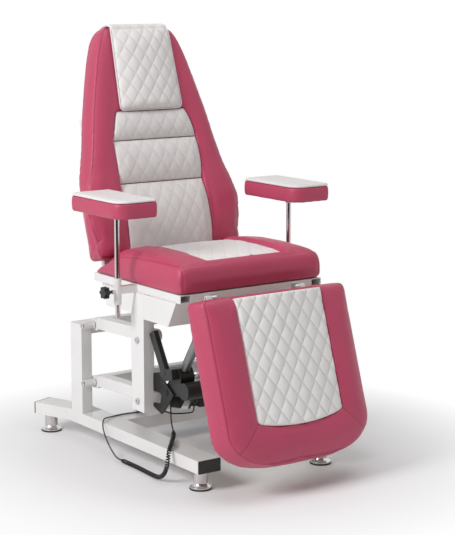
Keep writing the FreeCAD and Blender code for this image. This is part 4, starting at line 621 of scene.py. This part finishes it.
def largest_shell(node):
    """Copies the closed shell of a CAD node that spans most."""
    work = bmesh.new()
    work.from_mesh(nodes[node].data)
    bmesh.ops.remove_doubles(work, verts=work.verts, dist=1e-6)
    left = set(work.verts)
    groups = []
    while left:
        stack = [left.pop()]
        group = set(stack)
        while stack:
            for edge in stack.pop().link_edges:
                for vert in edge.verts:
                    if vert in left:
                        left.discard(vert)
                        group.add(vert)
                        stack.append(vert)
        groups.append(group)

    def span(group):
        return sum(max(v.co[k] for v in group) - min(v.co[k] for v in group) for k in range(3))

    widest = max(groups, key=span)
    bmesh.ops.delete(work, geom=[v for v in work.verts if v not in widest], context="VERTS")
    mesh = bpy.data.meshes.new(node)
    work.to_mesh(mesh)
    work.free()
    return mesh


def relax(mesh, rounds=2):
    """Evens out a mesh's small steps."""
    work = bmesh.new()
    work.from_mesh(mesh)
    for _ in range(rounds):
        bmesh.ops.smooth_vert(work, verts=work.verts, factor=0.5, use_axis_x=True, use_axis_y=True,
                              use_axis_z=True)
    work.to_mesh(mesh)
    work.free()


def inflate(mesh, free):
    """Stuffs a shell: cloth under pressure, held where free is 0, no point moved past the cap.
    """
    weights = [free(v.co) for v in mesh.vertices]
    normals = [v.normal.copy() for v in mesh.vertices]
    grow = -shrink
    for vert, normal, weight in zip(mesh.vertices, normals, weights):
        vert.co = vert.co + normal * grow * weight
    work = linked("work", mesh)
    pins = work.vertex_groups.new(name="pins")
    for k, weight in enumerate(weights):
        pins.add([k], 1.0 if weight < hold else 0.0, "REPLACE")
    cloth = work.modifiers.new("cloth", "CLOTH")
    cloth.settings.use_pressure = True
    cloth.settings.uniform_pressure_force = pressure
    cloth.settings.effector_weights.gravity = 0.0
    cloth.settings.vertex_group_mass = "pins"
    cloth.point_cache.frame_start = 1
    cloth.point_cache.frame_end = sim_frames
    for count in range(1, sim_frames + 1):
        scene.frame_set(count)
    blown = work.evaluated_get(bpy.context.evaluated_depsgraph_get()).to_mesh()
    swollen = [v.co.copy() for v in blown.vertices]
    bpy.data.objects.remove(work)
    scene.frame_set(1)
    for vert, weight, new in zip(mesh.vertices, weights, swollen):
        way = new - vert.co
        if way.length > swell_cap:
            way *= swell_cap / way.length
        vert.co = vert.co + way * weight


def upholstered(name, node, body, lay, free, fields):
    """The pink shell of a cushion: remeshed, stuffed, subdivided, then sewn along its seams.

    fields gives, at a place in the cushion's own frame, the distance to the seam around it, the
    distance to the seam across its corner, and how far that one shows there.
    """
    mesh = evaluated(largest_shell(node), "REMESH", mode="VOXEL", voxel_size=voxel)
    relax(mesh)
    inflate(mesh, free)
    relax(mesh)
    mesh = evaluated(mesh, "SUBSURF", levels=1)
    kept = mesh.attributes.new("seam", "FLOAT_VECTOR", "POINT")
    normals = [v.normal.copy() for v in mesh.vertices]
    for vert, normal in zip(mesh.vertices, normals):
        edge, mitre, mask = fields(*lay.back(vert.co))
        kept.data[vert.index].vector = (edge, mitre, mask)
        pull = math.exp(-(edge / seam_sigma) ** 2) + mask * math.exp(-(mitre / seam_sigma) ** 2)
        vert.co = vert.co - normal * seam_depth * min(1.0, pull)
    made = add_object(name, mesh, looks["pink_leather"], body, (node,))


# Cord of the handset: a thin lead, a curly stretch and a thin lead to the handset
def spline(name, points, radius):
    """A smooth curve along points, as a tube, or as a bare line where the radius is 0."""
    curve = bpy.data.curves.new(name, "CURVE")
    curve.dimensions = "3D"
    line = curve.splines.new("NURBS")
    line.points.add(len(points) - 1)
    for spot, point in zip(line.points, points):
        spot.co = tuple(point) + (1.0,)
    line.order_u = 3
    line.use_endpoint_u = True
    line.resolution_u = 6
    curve.bevel_depth = radius
    curve.bevel_resolution = 3
    curve.use_fill_caps = True
    return curve


def followed(curve):
    """The points of a curve's smooth line."""
    return [v.co.copy() for v in evaluated(curve).vertices]


drop_points, curl_points, rise_points = (tuple(moved(p) for p in points)
                                         for points in (drop_points, curl_points, rise_points))


def curly_points():
    """The route with its middle stretch wound into curls."""
    path = followed(spline("route", drop_points + curl_points + rise_points, 0.0))
    first, last = Vector(drop_points[-1]), Vector(curl_points[-1])
    start = min(range(len(path)), key=lambda k: (path[k] - first).length)
    stop = min(range(len(path)), key=lambda k: (path[k] - last).length)
    run = [0.0]
    for a, b in zip(path, path[1:]):
        run.append(run[-1] + (b - a).length)

    def at(distance):
        """Place and way of the route at a distance along it."""
        for k in range(len(path) - 1):
            if run[k + 1] >= distance:
                share = (distance - run[k]) / max(1e-9, run[k + 1] - run[k])
                return path[k].lerp(path[k + 1], share), (path[k + 1] - path[k]).normalized()
        return path[-1], (path[-1] - path[-2]).normalized()

    total = run[stop] - run[start]
    count = curl_turns * points_per_turn
    side = Vector((1.0, 0.0, 0.0))
    wound = []
    for k in range(count + 1):
        share = k / count
        centre, way = at(run[start] + total * share)
        side = (side - way * side.dot(way)).normalized()
        other = way.cross(side)
        turn = 2 * math.pi * k / points_per_turn
        reach = curl_r * smooth(min(share, 1 - share) * curl_turns, 0.0, curl_ease_turns)
        wound.append(centre + (side * math.cos(turn) + other * math.sin(turn)) * reach)
    return [Vector(p) for p in drop_points[:-1]] + wound + [Vector(p) for p in rise_points]


cord_line = curly_points()
cord_path = followed(spline("cord_path", cord_line, 0.0))
cord_length = sum((b - a).length for a, b in zip(cord_path, cord_path[1:]))
cord = linked("handset_cord", evaluated(spline("handset_cord", cord_line, cord_tube_r)))
cord.data.materials.clear()
cord.data.materials.append(cord_skin)
cord.data.polygons.foreach_set("use_smooth", [True] * len(cord.data.polygons))
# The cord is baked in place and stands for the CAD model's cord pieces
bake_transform(cord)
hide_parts("cord_drop", "cord_curly", "cord_rise")
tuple(drop_points[0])
[tuple(p) for p in cord_path]


# Seams and sunk panels of the cushions: how free the leather is on a seam and how far that
# reaches, how far a seam across a corner fades in and out at its ends, and where a panel's hold on
# the leather around it ends
seam_least, seam_reach = 0.25, 0.014
mitre_lead, mitre_tail = 0.006, 0.008
clear_from, clear_to, back_clear_to = 0.001, 0.020, 0.022


def seam_freedom(distance, least=seam_least, reach=seam_reach):
    """How free the leather is near a seam: least on it, 1 beyond its reach."""
    return least + (1 - least) * smooth(distance, 0.0, reach)


def mitre_field(a, b, inner, outer):
    """Signed distance to the straight seam between two points, and how far it lies in its run."""
    da, db = outer[0] - inner[0], outer[1] - inner[1]
    span = math.hypot(da, db)
    along = ((a - inner[0]) * da + (b - inner[1]) * db) / span
    off = ((a - inner[0]) * db - (b - inner[1]) * da) / span
    shown = smooth(along, -mitre_lead, 0.0) * (1 - smooth(along, span, span + mitre_tail))
    return off, shown


def panel_clear(u, v, n, wide, v0, v1, floor):
    """0 over and under a sunk panel, 1 away from it."""
    out = max(abs(u) - wide, v0 - v, v - v1)
    return smooth(out, clear_from, clear_to) if n > floor else 1.0


# Leg rest: its seams, the depths between which the leather comes free of the board, and the depth
# under which the panel holds nothing
leg_seam_rows = ((-0.504, -0.024), (-0.500, -0.012), (-0.490, -0.002), (-0.474, 0.0),
                 (-0.020, 0.0), (0.010, -0.004), (0.017, -0.016))
leg_mitre_in = (leg_panel_w + 0.001, leg_panel_v0 + leg_panel_bow)
leg_mitre_out = (0.234, -0.448)
leg_mitre_n0, leg_mitre_n1 = -0.004, 0.002
leg_board_n0, leg_board_n1 = -0.068, -0.030
leg_panel_floor = -0.015
leg_panel_over = 0.03


def leg_low(x):
    """Lower border of the leg rest's quilted panel, bowed and with rounded corners."""
    across = min(abs(x), leg_panel_w)
    corner = max(0.0, across - leg_panel_w + leg_panel_round)
    return (leg_panel_v0 + leg_panel_bow * (across / leg_panel_w) ** 2 + leg_panel_round
            - math.sqrt(leg_panel_round ** 2 - corner ** 2))


def leg_fields(u, v, n):
    off, mask = mitre_field(abs(u), v, leg_mitre_in, leg_mitre_out)
    return n - between(leg_seam_rows, v), off, mask * smooth(n, leg_mitre_n0, leg_mitre_n1)


def leg_free(p):
    u, v, n = leg_lay.back(p)
    seam = abs(n - between(leg_seam_rows, v))
    return (smooth(n, leg_board_n0, leg_board_n1) * seam_freedom(seam)
            * panel_clear(u, v, n, leg_panel_w, leg_low(u), leg_panel_v1 + leg_panel_over,
                          leg_panel_floor))


upholstered("leg_shell", "leg_cushion", "leg_rest", leg_lay, leg_free, leg_fields)


def leg_spot(u, v):
    """A place of the straight grid, moved so that the grid's lowest row follows the border."""
    low = leg_low(u)
    return u, low + (leg_panel_v1 - low) * (v - leg_panel_v0) / (leg_panel_v1 - leg_panel_v0)


def leg_top(u, v):
    x, at = leg_spot(u, v)
    crown = leg_panel_side + (leg_panel_crest - leg_panel_side) * (1 - (x / leg_panel_w) ** 2)
    edge = rim_fall(min(leg_panel_w - abs(x), at - leg_low(x), leg_panel_v1 - at))
    stuffed = puff(x - quilt_u0, at - quilt_v0, diamond_w, diamond_h, leg_puff)
    return leg_lay.out(x, at, crown - leg_border * (1 - edge) + stuffed * edge - leg_sink)


def leg_base(u, v):
    return leg_lay.out(*leg_spot(u, v), leg_panel_n0)


def leg_uv(u, v):
    x, at = leg_spot(u, v)
    return x - quilt_u0, at - quilt_v0


leg_us = steps(-leg_panel_w, leg_panel_w)
leg_vs = steps(leg_panel_v0 + leg_gap, leg_panel_v1)
leg_mesh = patch("leg_quilt", leg_us, leg_vs, leg_top, leg_base, leg_uv)
leg_quilt = add_object("leg_quilt", leg_mesh, quilt, "leg_rest", ("leg_cushion",))


# Seat: the same values, in which n is the height over the floor
seat_seam_rows = ((-0.373, 0.646), (-0.367, 0.667), (-0.352, 0.675), (-0.220, 0.674),
                  (-0.110, 0.670), (-0.020, 0.661), (0.026, 0.648), (0.062, 0.629),
                  (0.098, 0.612), (0.120, 0.598))
seat_mitre_high, seat_mitre_low = (0.258, 0.674), (0.258, 0.595)
seat_front_v0, seat_front_v1 = -0.366, -0.360
seat_board_n0, seat_board_n1 = 0.598, 0.625
seat_rear_v0, seat_rear_v1 = 0.02, 0.08
seat_seam_least, seat_seam_reach = 0.3, 0.012
seat_panel_floor = 0.63


def seat_fields(u, v, n):
    seam = n - between(seat_seam_rows, v) if v >= seat_front_v1 else unsewn
    off, mask = mitre_field(abs(u), n, seat_mitre_high, seat_mitre_low)
    return seam, off, mask * (1 - smooth(v, seat_front_v0, seat_front_v1))


def seat_free(p):
    u, v, n = seat_lay.back(p)
    seam = abs(n - between(seat_seam_rows, v))
    return (smooth(n, seat_board_n0, seat_board_n1)
            * seam_freedom(seam, seat_seam_least, seat_seam_reach)
            * (1 - smooth(v, seat_rear_v0, seat_rear_v1))
            * panel_clear(u, v, n, seat_panel_w, seat_panel_v0, seat_panel_v1, seat_panel_floor))


upholstered("seat_shell", "seat_cushion", "carriage", seat_lay, seat_free, seat_fields)


def seat_top(u, v):
    crown = between(seat_panel_rows, v) - seat_panel_bow * (u / seat_panel_w) ** 2
    edge = rim_fall(min(seat_panel_w - abs(u), v - seat_panel_v0, seat_panel_v1 - v))
    stuffed = puff(u, v, diamond_w, diamond_h, seat_puff)
    return seat_lay.out(u, v, crown - seat_border * (1 - edge) + stuffed * edge - seat_sink)


def seat_base(u, v):
    return seat_lay.out(u, v, between(seat_panel_rows, v) - seat_panel_drop)


seat_us = steps(-seat_panel_w, seat_panel_w)
seat_vs = steps(seat_panel_v0, seat_panel_v1)
seat_mesh = patch("seat_quilt", seat_us, seat_vs, seat_top, seat_base)
seat_quilt = add_object("seat_quilt", seat_mesh, seat_leather, "carriage",
                        ("seat_cushion",))


# Back rest: the same values, and the half width of the sunk part that holds the rolls and pillow
back_seam_rows = ((-0.030, -0.014), (-0.022, -0.003), (0.020, 0.0), (0.080, 0.002), (0.140, 0.002),
                  (0.200, 0.0), (0.620, 0.0), (0.668, -0.001), (0.704, -0.005), (0.724, -0.014),
                  (0.732, -0.028))
back_mitre_high, back_mitre_low = (0.036, 0.010), (-0.020, -0.060)
back_mitre_u0, back_mitre_u1 = 0.258, 0.268
back_board_n0, back_board_n1 = -0.068, -0.035
back_head_v0, back_head_v1 = 0.690, 0.712
recess_rows = ((-0.05, 0.162), (0.349, 0.162), (0.4465, 0.134), (0.447, 0.122), (0.700, 0.122),
               (0.708, 0.110))
recess_floor = -0.02


def back_fields(u, v, n):
    off, mask = mitre_field(v, n, back_mitre_high, back_mitre_low)
    mask *= smooth(abs(u), back_mitre_u0, back_mitre_u1)
    return n - between(back_seam_rows, v), off, mask


def back_free(p):
    u, v, n = back_lay.back(p)
    seam = abs(n - between(back_seam_rows, v))
    beside = abs(u) - between(recess_rows, v)
    return (smooth(n, back_board_n0, back_board_n1) * seam_freedom(seam)
            * (smooth(beside, clear_from, back_clear_to) if n > recess_floor else 1.0)
            * (1 - smooth(v, back_head_v0, back_head_v1)))


upholstered("back_shell", "back_cushion", "back_rest", back_lay, back_free, back_fields)


def roll_mesh(name, v0, v1, w0, w1, height):
    """One cross roll from v0 to v1; its half width goes from w0 to w1."""
    def wide(v):
        return w0 + (w1 - w0) * (v - v0) / (v1 - v0)

    def top(share, v):
        arc = 1 - abs(2 * (v - v0) / (v1 - v0) - 1) ** roll_power
        x = share * wide(v)
        lift = between(roll_rise, abs(share))
        edge = rim_fall(min(wide(v) - abs(x), v - v0, v1 - v), roll_border_reach)
        crown = roll_side * lift + (height - roll_side) * lift * arc
        stuffed = puff(x, v - roll_quilt_v0, diamond_w, diamond_h, roll_puff)
        return back_lay.out(x, v, crown - roll_border * (1 - edge) + stuffed * edge - roll_sink)

    def base(share, v):
        return back_lay.out(share * wide(v), v, roll_base)

    def spot(share, v):
        return share * wide(v), v - roll_quilt_v0

    return patch(name, shares_across(max(w0, w1)), steps(v0 + roll_gap, v1 - roll_gap), top, base,
                 spot)


for number, row in enumerate(roll_rows, start=1):
    roll_name = "back_roll_%d" % number
    roll = add_object(roll_name, roll_mesh(roll_name, *row), roll_leather, "back_rest",
                      ("back_rolls",))


# Head pillow with its flap over the top of the back rest
def pillow_profile():
    """Stations up the pillow and on over the flap.

    Each row has its place v and n, its outward way, half width, height at the sides and in the
    middle, and how far along the line it lies.
    """
    rows = []
    for v in steps(pillow_v0, pillow_v1):
        up = v - pillow_v0
        fall = rim_fall(up, pillow_foot_reach)
        wide = (pillow_w + (flap_w - pillow_w) * up / (pillow_v1 - pillow_v0)
                - pillow_corner_in * (1 - rim_fall(up, pillow_corner_reach)))
        edge = pillow_edge * (pillow_foot_edge + (1 - pillow_foot_edge) * fall)
        crest = pillow_foot_crest + (pillow_crest - pillow_foot_crest) * fall
        full = rim_fall(pillow_v1 - v, pillow_head_reach)
        rows.append((v, pillow_n0, (0.0, 1.0), wide, flap_t + (edge - flap_t) * full,
                     flap_t + (crest - flap_t) * full, v))
    walk = pillow_v1
    for (v0, n0), (v1, n1) in zip(flap_line, flap_line[1:]):
        span = math.hypot(v1 - v0, n1 - n0)
        way = (-(n1 - n0) / span, (v1 - v0) / span)
        count = max(1, round(span / flap_step))
        for i in range(count):
            share = (i + 1) / count
            rows.append((v0 + (v1 - v0) * share, n0 + (n1 - n0) * share, way, flap_w, flap_t,
                         flap_t, walk + span * share))
        walk += span
    return rows


def pillow_mesh():
    """The pillow and its flap as one panel, swept along the profile's rows."""
    rows = pillow_profile()
    ways = []
    for k in range(len(rows)):
        near = [rows[m][2] for m in range(max(0, k - 1), min(len(rows), k + 2))]
        way = (sum(w[0] for w in near), sum(w[1] for w in near))
        span = math.hypot(*way)
        ways.append((way[0] / span, way[1] / span))

    def top(share, k):
        v, n, _, wide, edge, crest, walk = rows[k]
        x = share * wide
        soft = rim_fall(min(wide - abs(x), walk - pillow_v0), pillow_border_reach)
        crown = edge + (crest - edge) * (1 - abs(share) ** pillow_power)
        crown *= pillow_border_share + (1 - pillow_border_share) * soft
        stuffed = puff(x - pillow_quilt_u0, walk - pillow_quilt_v0, pillow_diamond_w,
                       pillow_diamond_h, pillow_puff if walk < pillow_v1 else flap_puff)
        height = crown + stuffed * soft - pillow_sink
        return back_lay.out(x, v + ways[k][0] * height, n + ways[k][1] * height)

    def base(share, k):
        v, n, _, wide, _, _, _ = rows[k]
        return back_lay.out(share * wide, v, n)

    def spot(share, k):
        return share * rows[k][3] - pillow_quilt_u0, rows[k][6] - pillow_quilt_v0

    return patch("head_pillow", shares_across(pillow_w), range(len(rows)), top, base, spot)


def piping(name, points, radius, sides=10):
    """A sewn welt: a thin closed tube along a line of points."""
    count = len(points)
    ways = [(points[min(count - 1, k + 1)] - points[max(0, k - 1)]).normalized()
            for k in range(count)]
    side = ways[0].orthogonal().normalized()
    spots = []
    for point, way in zip(points, ways):
        side = (side - way * side.dot(way)).normalized()
        other = way.cross(side)
        for i in range(sides):
            turn = 2 * math.pi * i / sides
            spots.append(point + (side * math.cos(turn) + other * math.sin(turn)) * radius)
    faces = tube_faces(count, sides)
    faces += [tuple(range(sides)), tuple((count - 1) * sides + i for i in range(sides))]
    return mesh_of(spots, faces, name)


def pillow_border(along_low=12):
    """The welt's line: down one side of the pillow, along its lower edge, up the other side."""
    rows = [row for row in pillow_profile() if row[6] <= pillow_v1]

    def rise(row):
        return row[1] + max(welt_r, row[4] * welt_up)

    def side(sign):
        return [back_lay.out(sign * (row[3] + welt_r * welt_out), row[0], rise(row))
                for row in rows]

    low = rows[0]
    below = [back_lay.out(low[3] * i / along_low, low[0] - welt_r * welt_out, rise(low))
             for i in range(1 - along_low, along_low)]
    return side(-1)[::-1] + below + side(1)


pillow = add_object("pillow", pillow_mesh(), pillow_quilt, "back_rest",
                    ("head_pillow",))
welt_mesh = piping("pillow_welt", pillow_border(), welt_r)
add_object("pillow_welt", welt_mesh, looks["pale_leather"], "back_rest")


# Arm pads
def pad_outline(inset, per_corner=10, per_side=14):
    """Outline of an arm pad: one broad front corner, the others small."""
    x1, y1 = arm_pad_w / 2 - inset, arm_pad_len / 2 - inset
    corners = ((-1, -1, arm_front_r, 180), (1, -1, arm_corner_r, 270), (1, 1, arm_corner_r, 0),
               (-1, 1, arm_corner_r, 90))
    rings = []
    for sx, sy, r, first in corners:
        r = max(r - inset, 0.002)
        arc = []
        for i in range(per_corner + 1):
            t = math.radians(first + 90 * i / per_corner)
            arc.append((sx * (x1 - r) + r * math.cos(t), sy * (y1 - r) + r * math.sin(t)))
        rings.append(arc)
    line = []
    for k, arc in enumerate(rings):
        line += arc
        (xa, ya), (xb, yb) = arc[-1], rings[(k + 1) % len(rings)][0]
        line += [(xa + (xb - xa) * i / per_side, ya + (yb - ya) * i / per_side)
                 for i in range(1, per_side)]
    return line


def ring_stack(rows, centre_x):
    """A closed form from outline rings: rows of inset, height and waviness, capped at both ends."""
    points = []
    for inset, z, wave in rows:
        line = pad_outline(inset)
        for k, (x, y) in enumerate(line):
            ripple = wave * math.sin(k * 1.9) * math.sin(k * 0.7 + 1.0)
            points.append((centre_x + x, arm_pad_y + y, z + ripple))
    size = len(points) // len(rows)
    faces = tube_faces(len(rows), size)
    for ring, z in ((0, rows[0][1]), (len(rows) - 1, rows[-1][1])):
        middle = len(points)
        points.append((centre_x, arm_pad_y, z))
        for i in range(size):
            faces.append((ring * size + i, ring * size + (i + 1) % size, middle))
    return mesh_of(points, faces)


def rows_over(level, rows):
    """Rows of inset, height over a level and waviness, with their heights over the floor."""
    return [(inset, level + up, wave) for inset, up, wave in rows]


band_rows = rows_over(arm_pad_z0, ((0.0180, 0.0122, 0.0), (0.0170, 0.0010, 0.0002),
                                   (0.0090, 0.0, 0.0006), (0.0035, 0.0012, 0.0010),
                                   (0.0010, 0.0045, 0.0008), (0.0, 0.0120, 0.0003),
                                   (-0.0008, 0.0240, 0.0)))
band_rows += rows_over(arm_band_z1, ((-0.0002, -0.0110, 0.0), (0.0008, -0.0040, 0.0),
                                     (0.0026, -0.0006, 0.0), (0.0060, 0.0, 0.0)))
top_rows = rows_over(arm_band_z1, ((0.0060, 0.0002, 0.0), (0.0024, 0.0012, 0.0),
                                   (0.0012, 0.0040, 0.0)))
top_rows += rows_over(arm_pad_z1, ((0.0026, -0.0050, 0.0), (0.0070, -0.0024, 0.0),
                                   (0.0150, -0.0010, 0.0), (0.0300, -0.0002, 0.0),
                                   (0.0480, 0.0, 0.0)))
for side, sign in (("left", -1), ("right", 1)):
    node_name, arm_body = "arm_pad_" + side, "arm_rest_" + side
    band_mesh = evaluated(ring_stack(band_rows, sign * arm_x), "SUBSURF", levels=1)
    top_mesh = evaluated(ring_stack(top_rows, sign * arm_x), "SUBSURF", levels=1)
    band = add_object("arm_band_" + side, band_mesh, looks["pink_leather"], arm_body,
                      (node_name,))
    cover = add_object("arm_top_" + side, top_mesh, looks["pale_leather"], arm_body,
                       (node_name,))
    # The band has no sewn edge of its own, so no painted crease shade is drawn on it
    for item in band.data.attributes.new("seam", "FLOAT_VECTOR", "POINT").data:
        item.vector = (unsewn, unsewn, 0.0)


# Floor, lights and camera
def lamp(name, at, watts, size):
    light = bpy.data.lights.new(name, "AREA")
    light.energy = watts
    light.size = size
    held = linked(name, light)
    held.location = moved(at)
    held.rotation_euler = (Vector(aim_at) - Vector(at)).to_track_quat("-Z", "Y").to_euler()


for row in lamps:
    lamp(*row)

world = bpy.data.worlds.new("studio")
scene.world = world
world.use_nodes = True
tree = world.node_tree
backdrop = tree.nodes["Background"]
backdrop.inputs["Color"].default_value = (1.0, 1.0, 1.0, 1.0)
rays = put(tree, "ShaderNodeLightPath")
bounced = math_node(tree, "MAXIMUM", rays.outputs["Is Glossy Ray"],
                    rays.outputs["Is Transmission Ray"])
seen = math_node(tree, "MAXIMUM", rays.outputs["Is Camera Ray"], bounced)
strength = math_node(tree, "MULTIPLY_ADD", seen, 1.0 - ambient, ambient)
tree.links.new(strength, backdrop.inputs["Strength"])

# White floor that fades into the backdrop
turns = [2 * math.pi * i / floor_sides for i in range(floor_sides)]
ring = [(floor_r * math.cos(t), floor_r * math.sin(t), 0.0) for t in turns]
floor = linked("floor", mesh_of(ring, [tuple(range(floor_sides))], "floor"))
mat, tree, skin = new_material("floor", Roughness=0.6, Specular_IOR_Level=0.3)
skin.inputs["Base Color"].default_value = floor_tone + (1.0,)
far = put(tree, "ShaderNodeVectorMath", {0: place(tree)}, operation="LENGTH").outputs["Value"]
far = math_node(tree, "DIVIDE", far, floor_r)
fade = ramp(tree, far, ((fade_from, grey(0.0)), (fade_to, grey(1.0))))
glow = put(tree, "ShaderNodeEmission", {"Color": (1.0, 1.0, 1.0, 1.0), "Strength": 1.0})
faded = put(tree, "ShaderNodeMixShader", {0: fade, 1: skin.outputs[0], 2: glow.outputs[0]})
tree.links.new(faded.outputs[0], tree.nodes["Material Output"].inputs["Surface"])
floor.data.materials.append(mat)

# Dark board on the camera's side, which only the plated parts and the leather's gloss reflect
toward = Vector((camera_at[0], camera_at[1], 0.0)).normalized()
across = Vector((-toward.y, toward.x, 0.0))
foot = toward * flag_away
corners = [foot - across * flag_half_w, foot + across * flag_half_w]
corners += [c + Vector((0.0, 0.0, flag_h)) for c in reversed(corners)]
flag = linked("flag", mesh_of(corners, [(0, 1, 2, 3)], "flag"))
flag.visible_camera = flag.visible_diffuse = flag.visible_shadow = False
flag.visible_transmission = flag.visible_volume_scatter = False
mat, tree, skin = new_material("flag", Roughness=1.0, Specular_IOR_Level=0.0)
skin.inputs["Base Color"].default_value = grey(flag_level) + (1.0,)
flag.data.materials.append(mat)

eye = bpy.data.cameras.new("camera")
eye.sensor_width = sensor_mm
eye.sensor_fit = "AUTO"
eye.lens = lens_mm
camera = linked("camera", eye)
camera.location = moved(camera_at)
camera.rotation_euler = [math.radians(a) for a in camera_turn_deg]
scene.camera = camera
scene.view_settings.view_transform = "Standard"
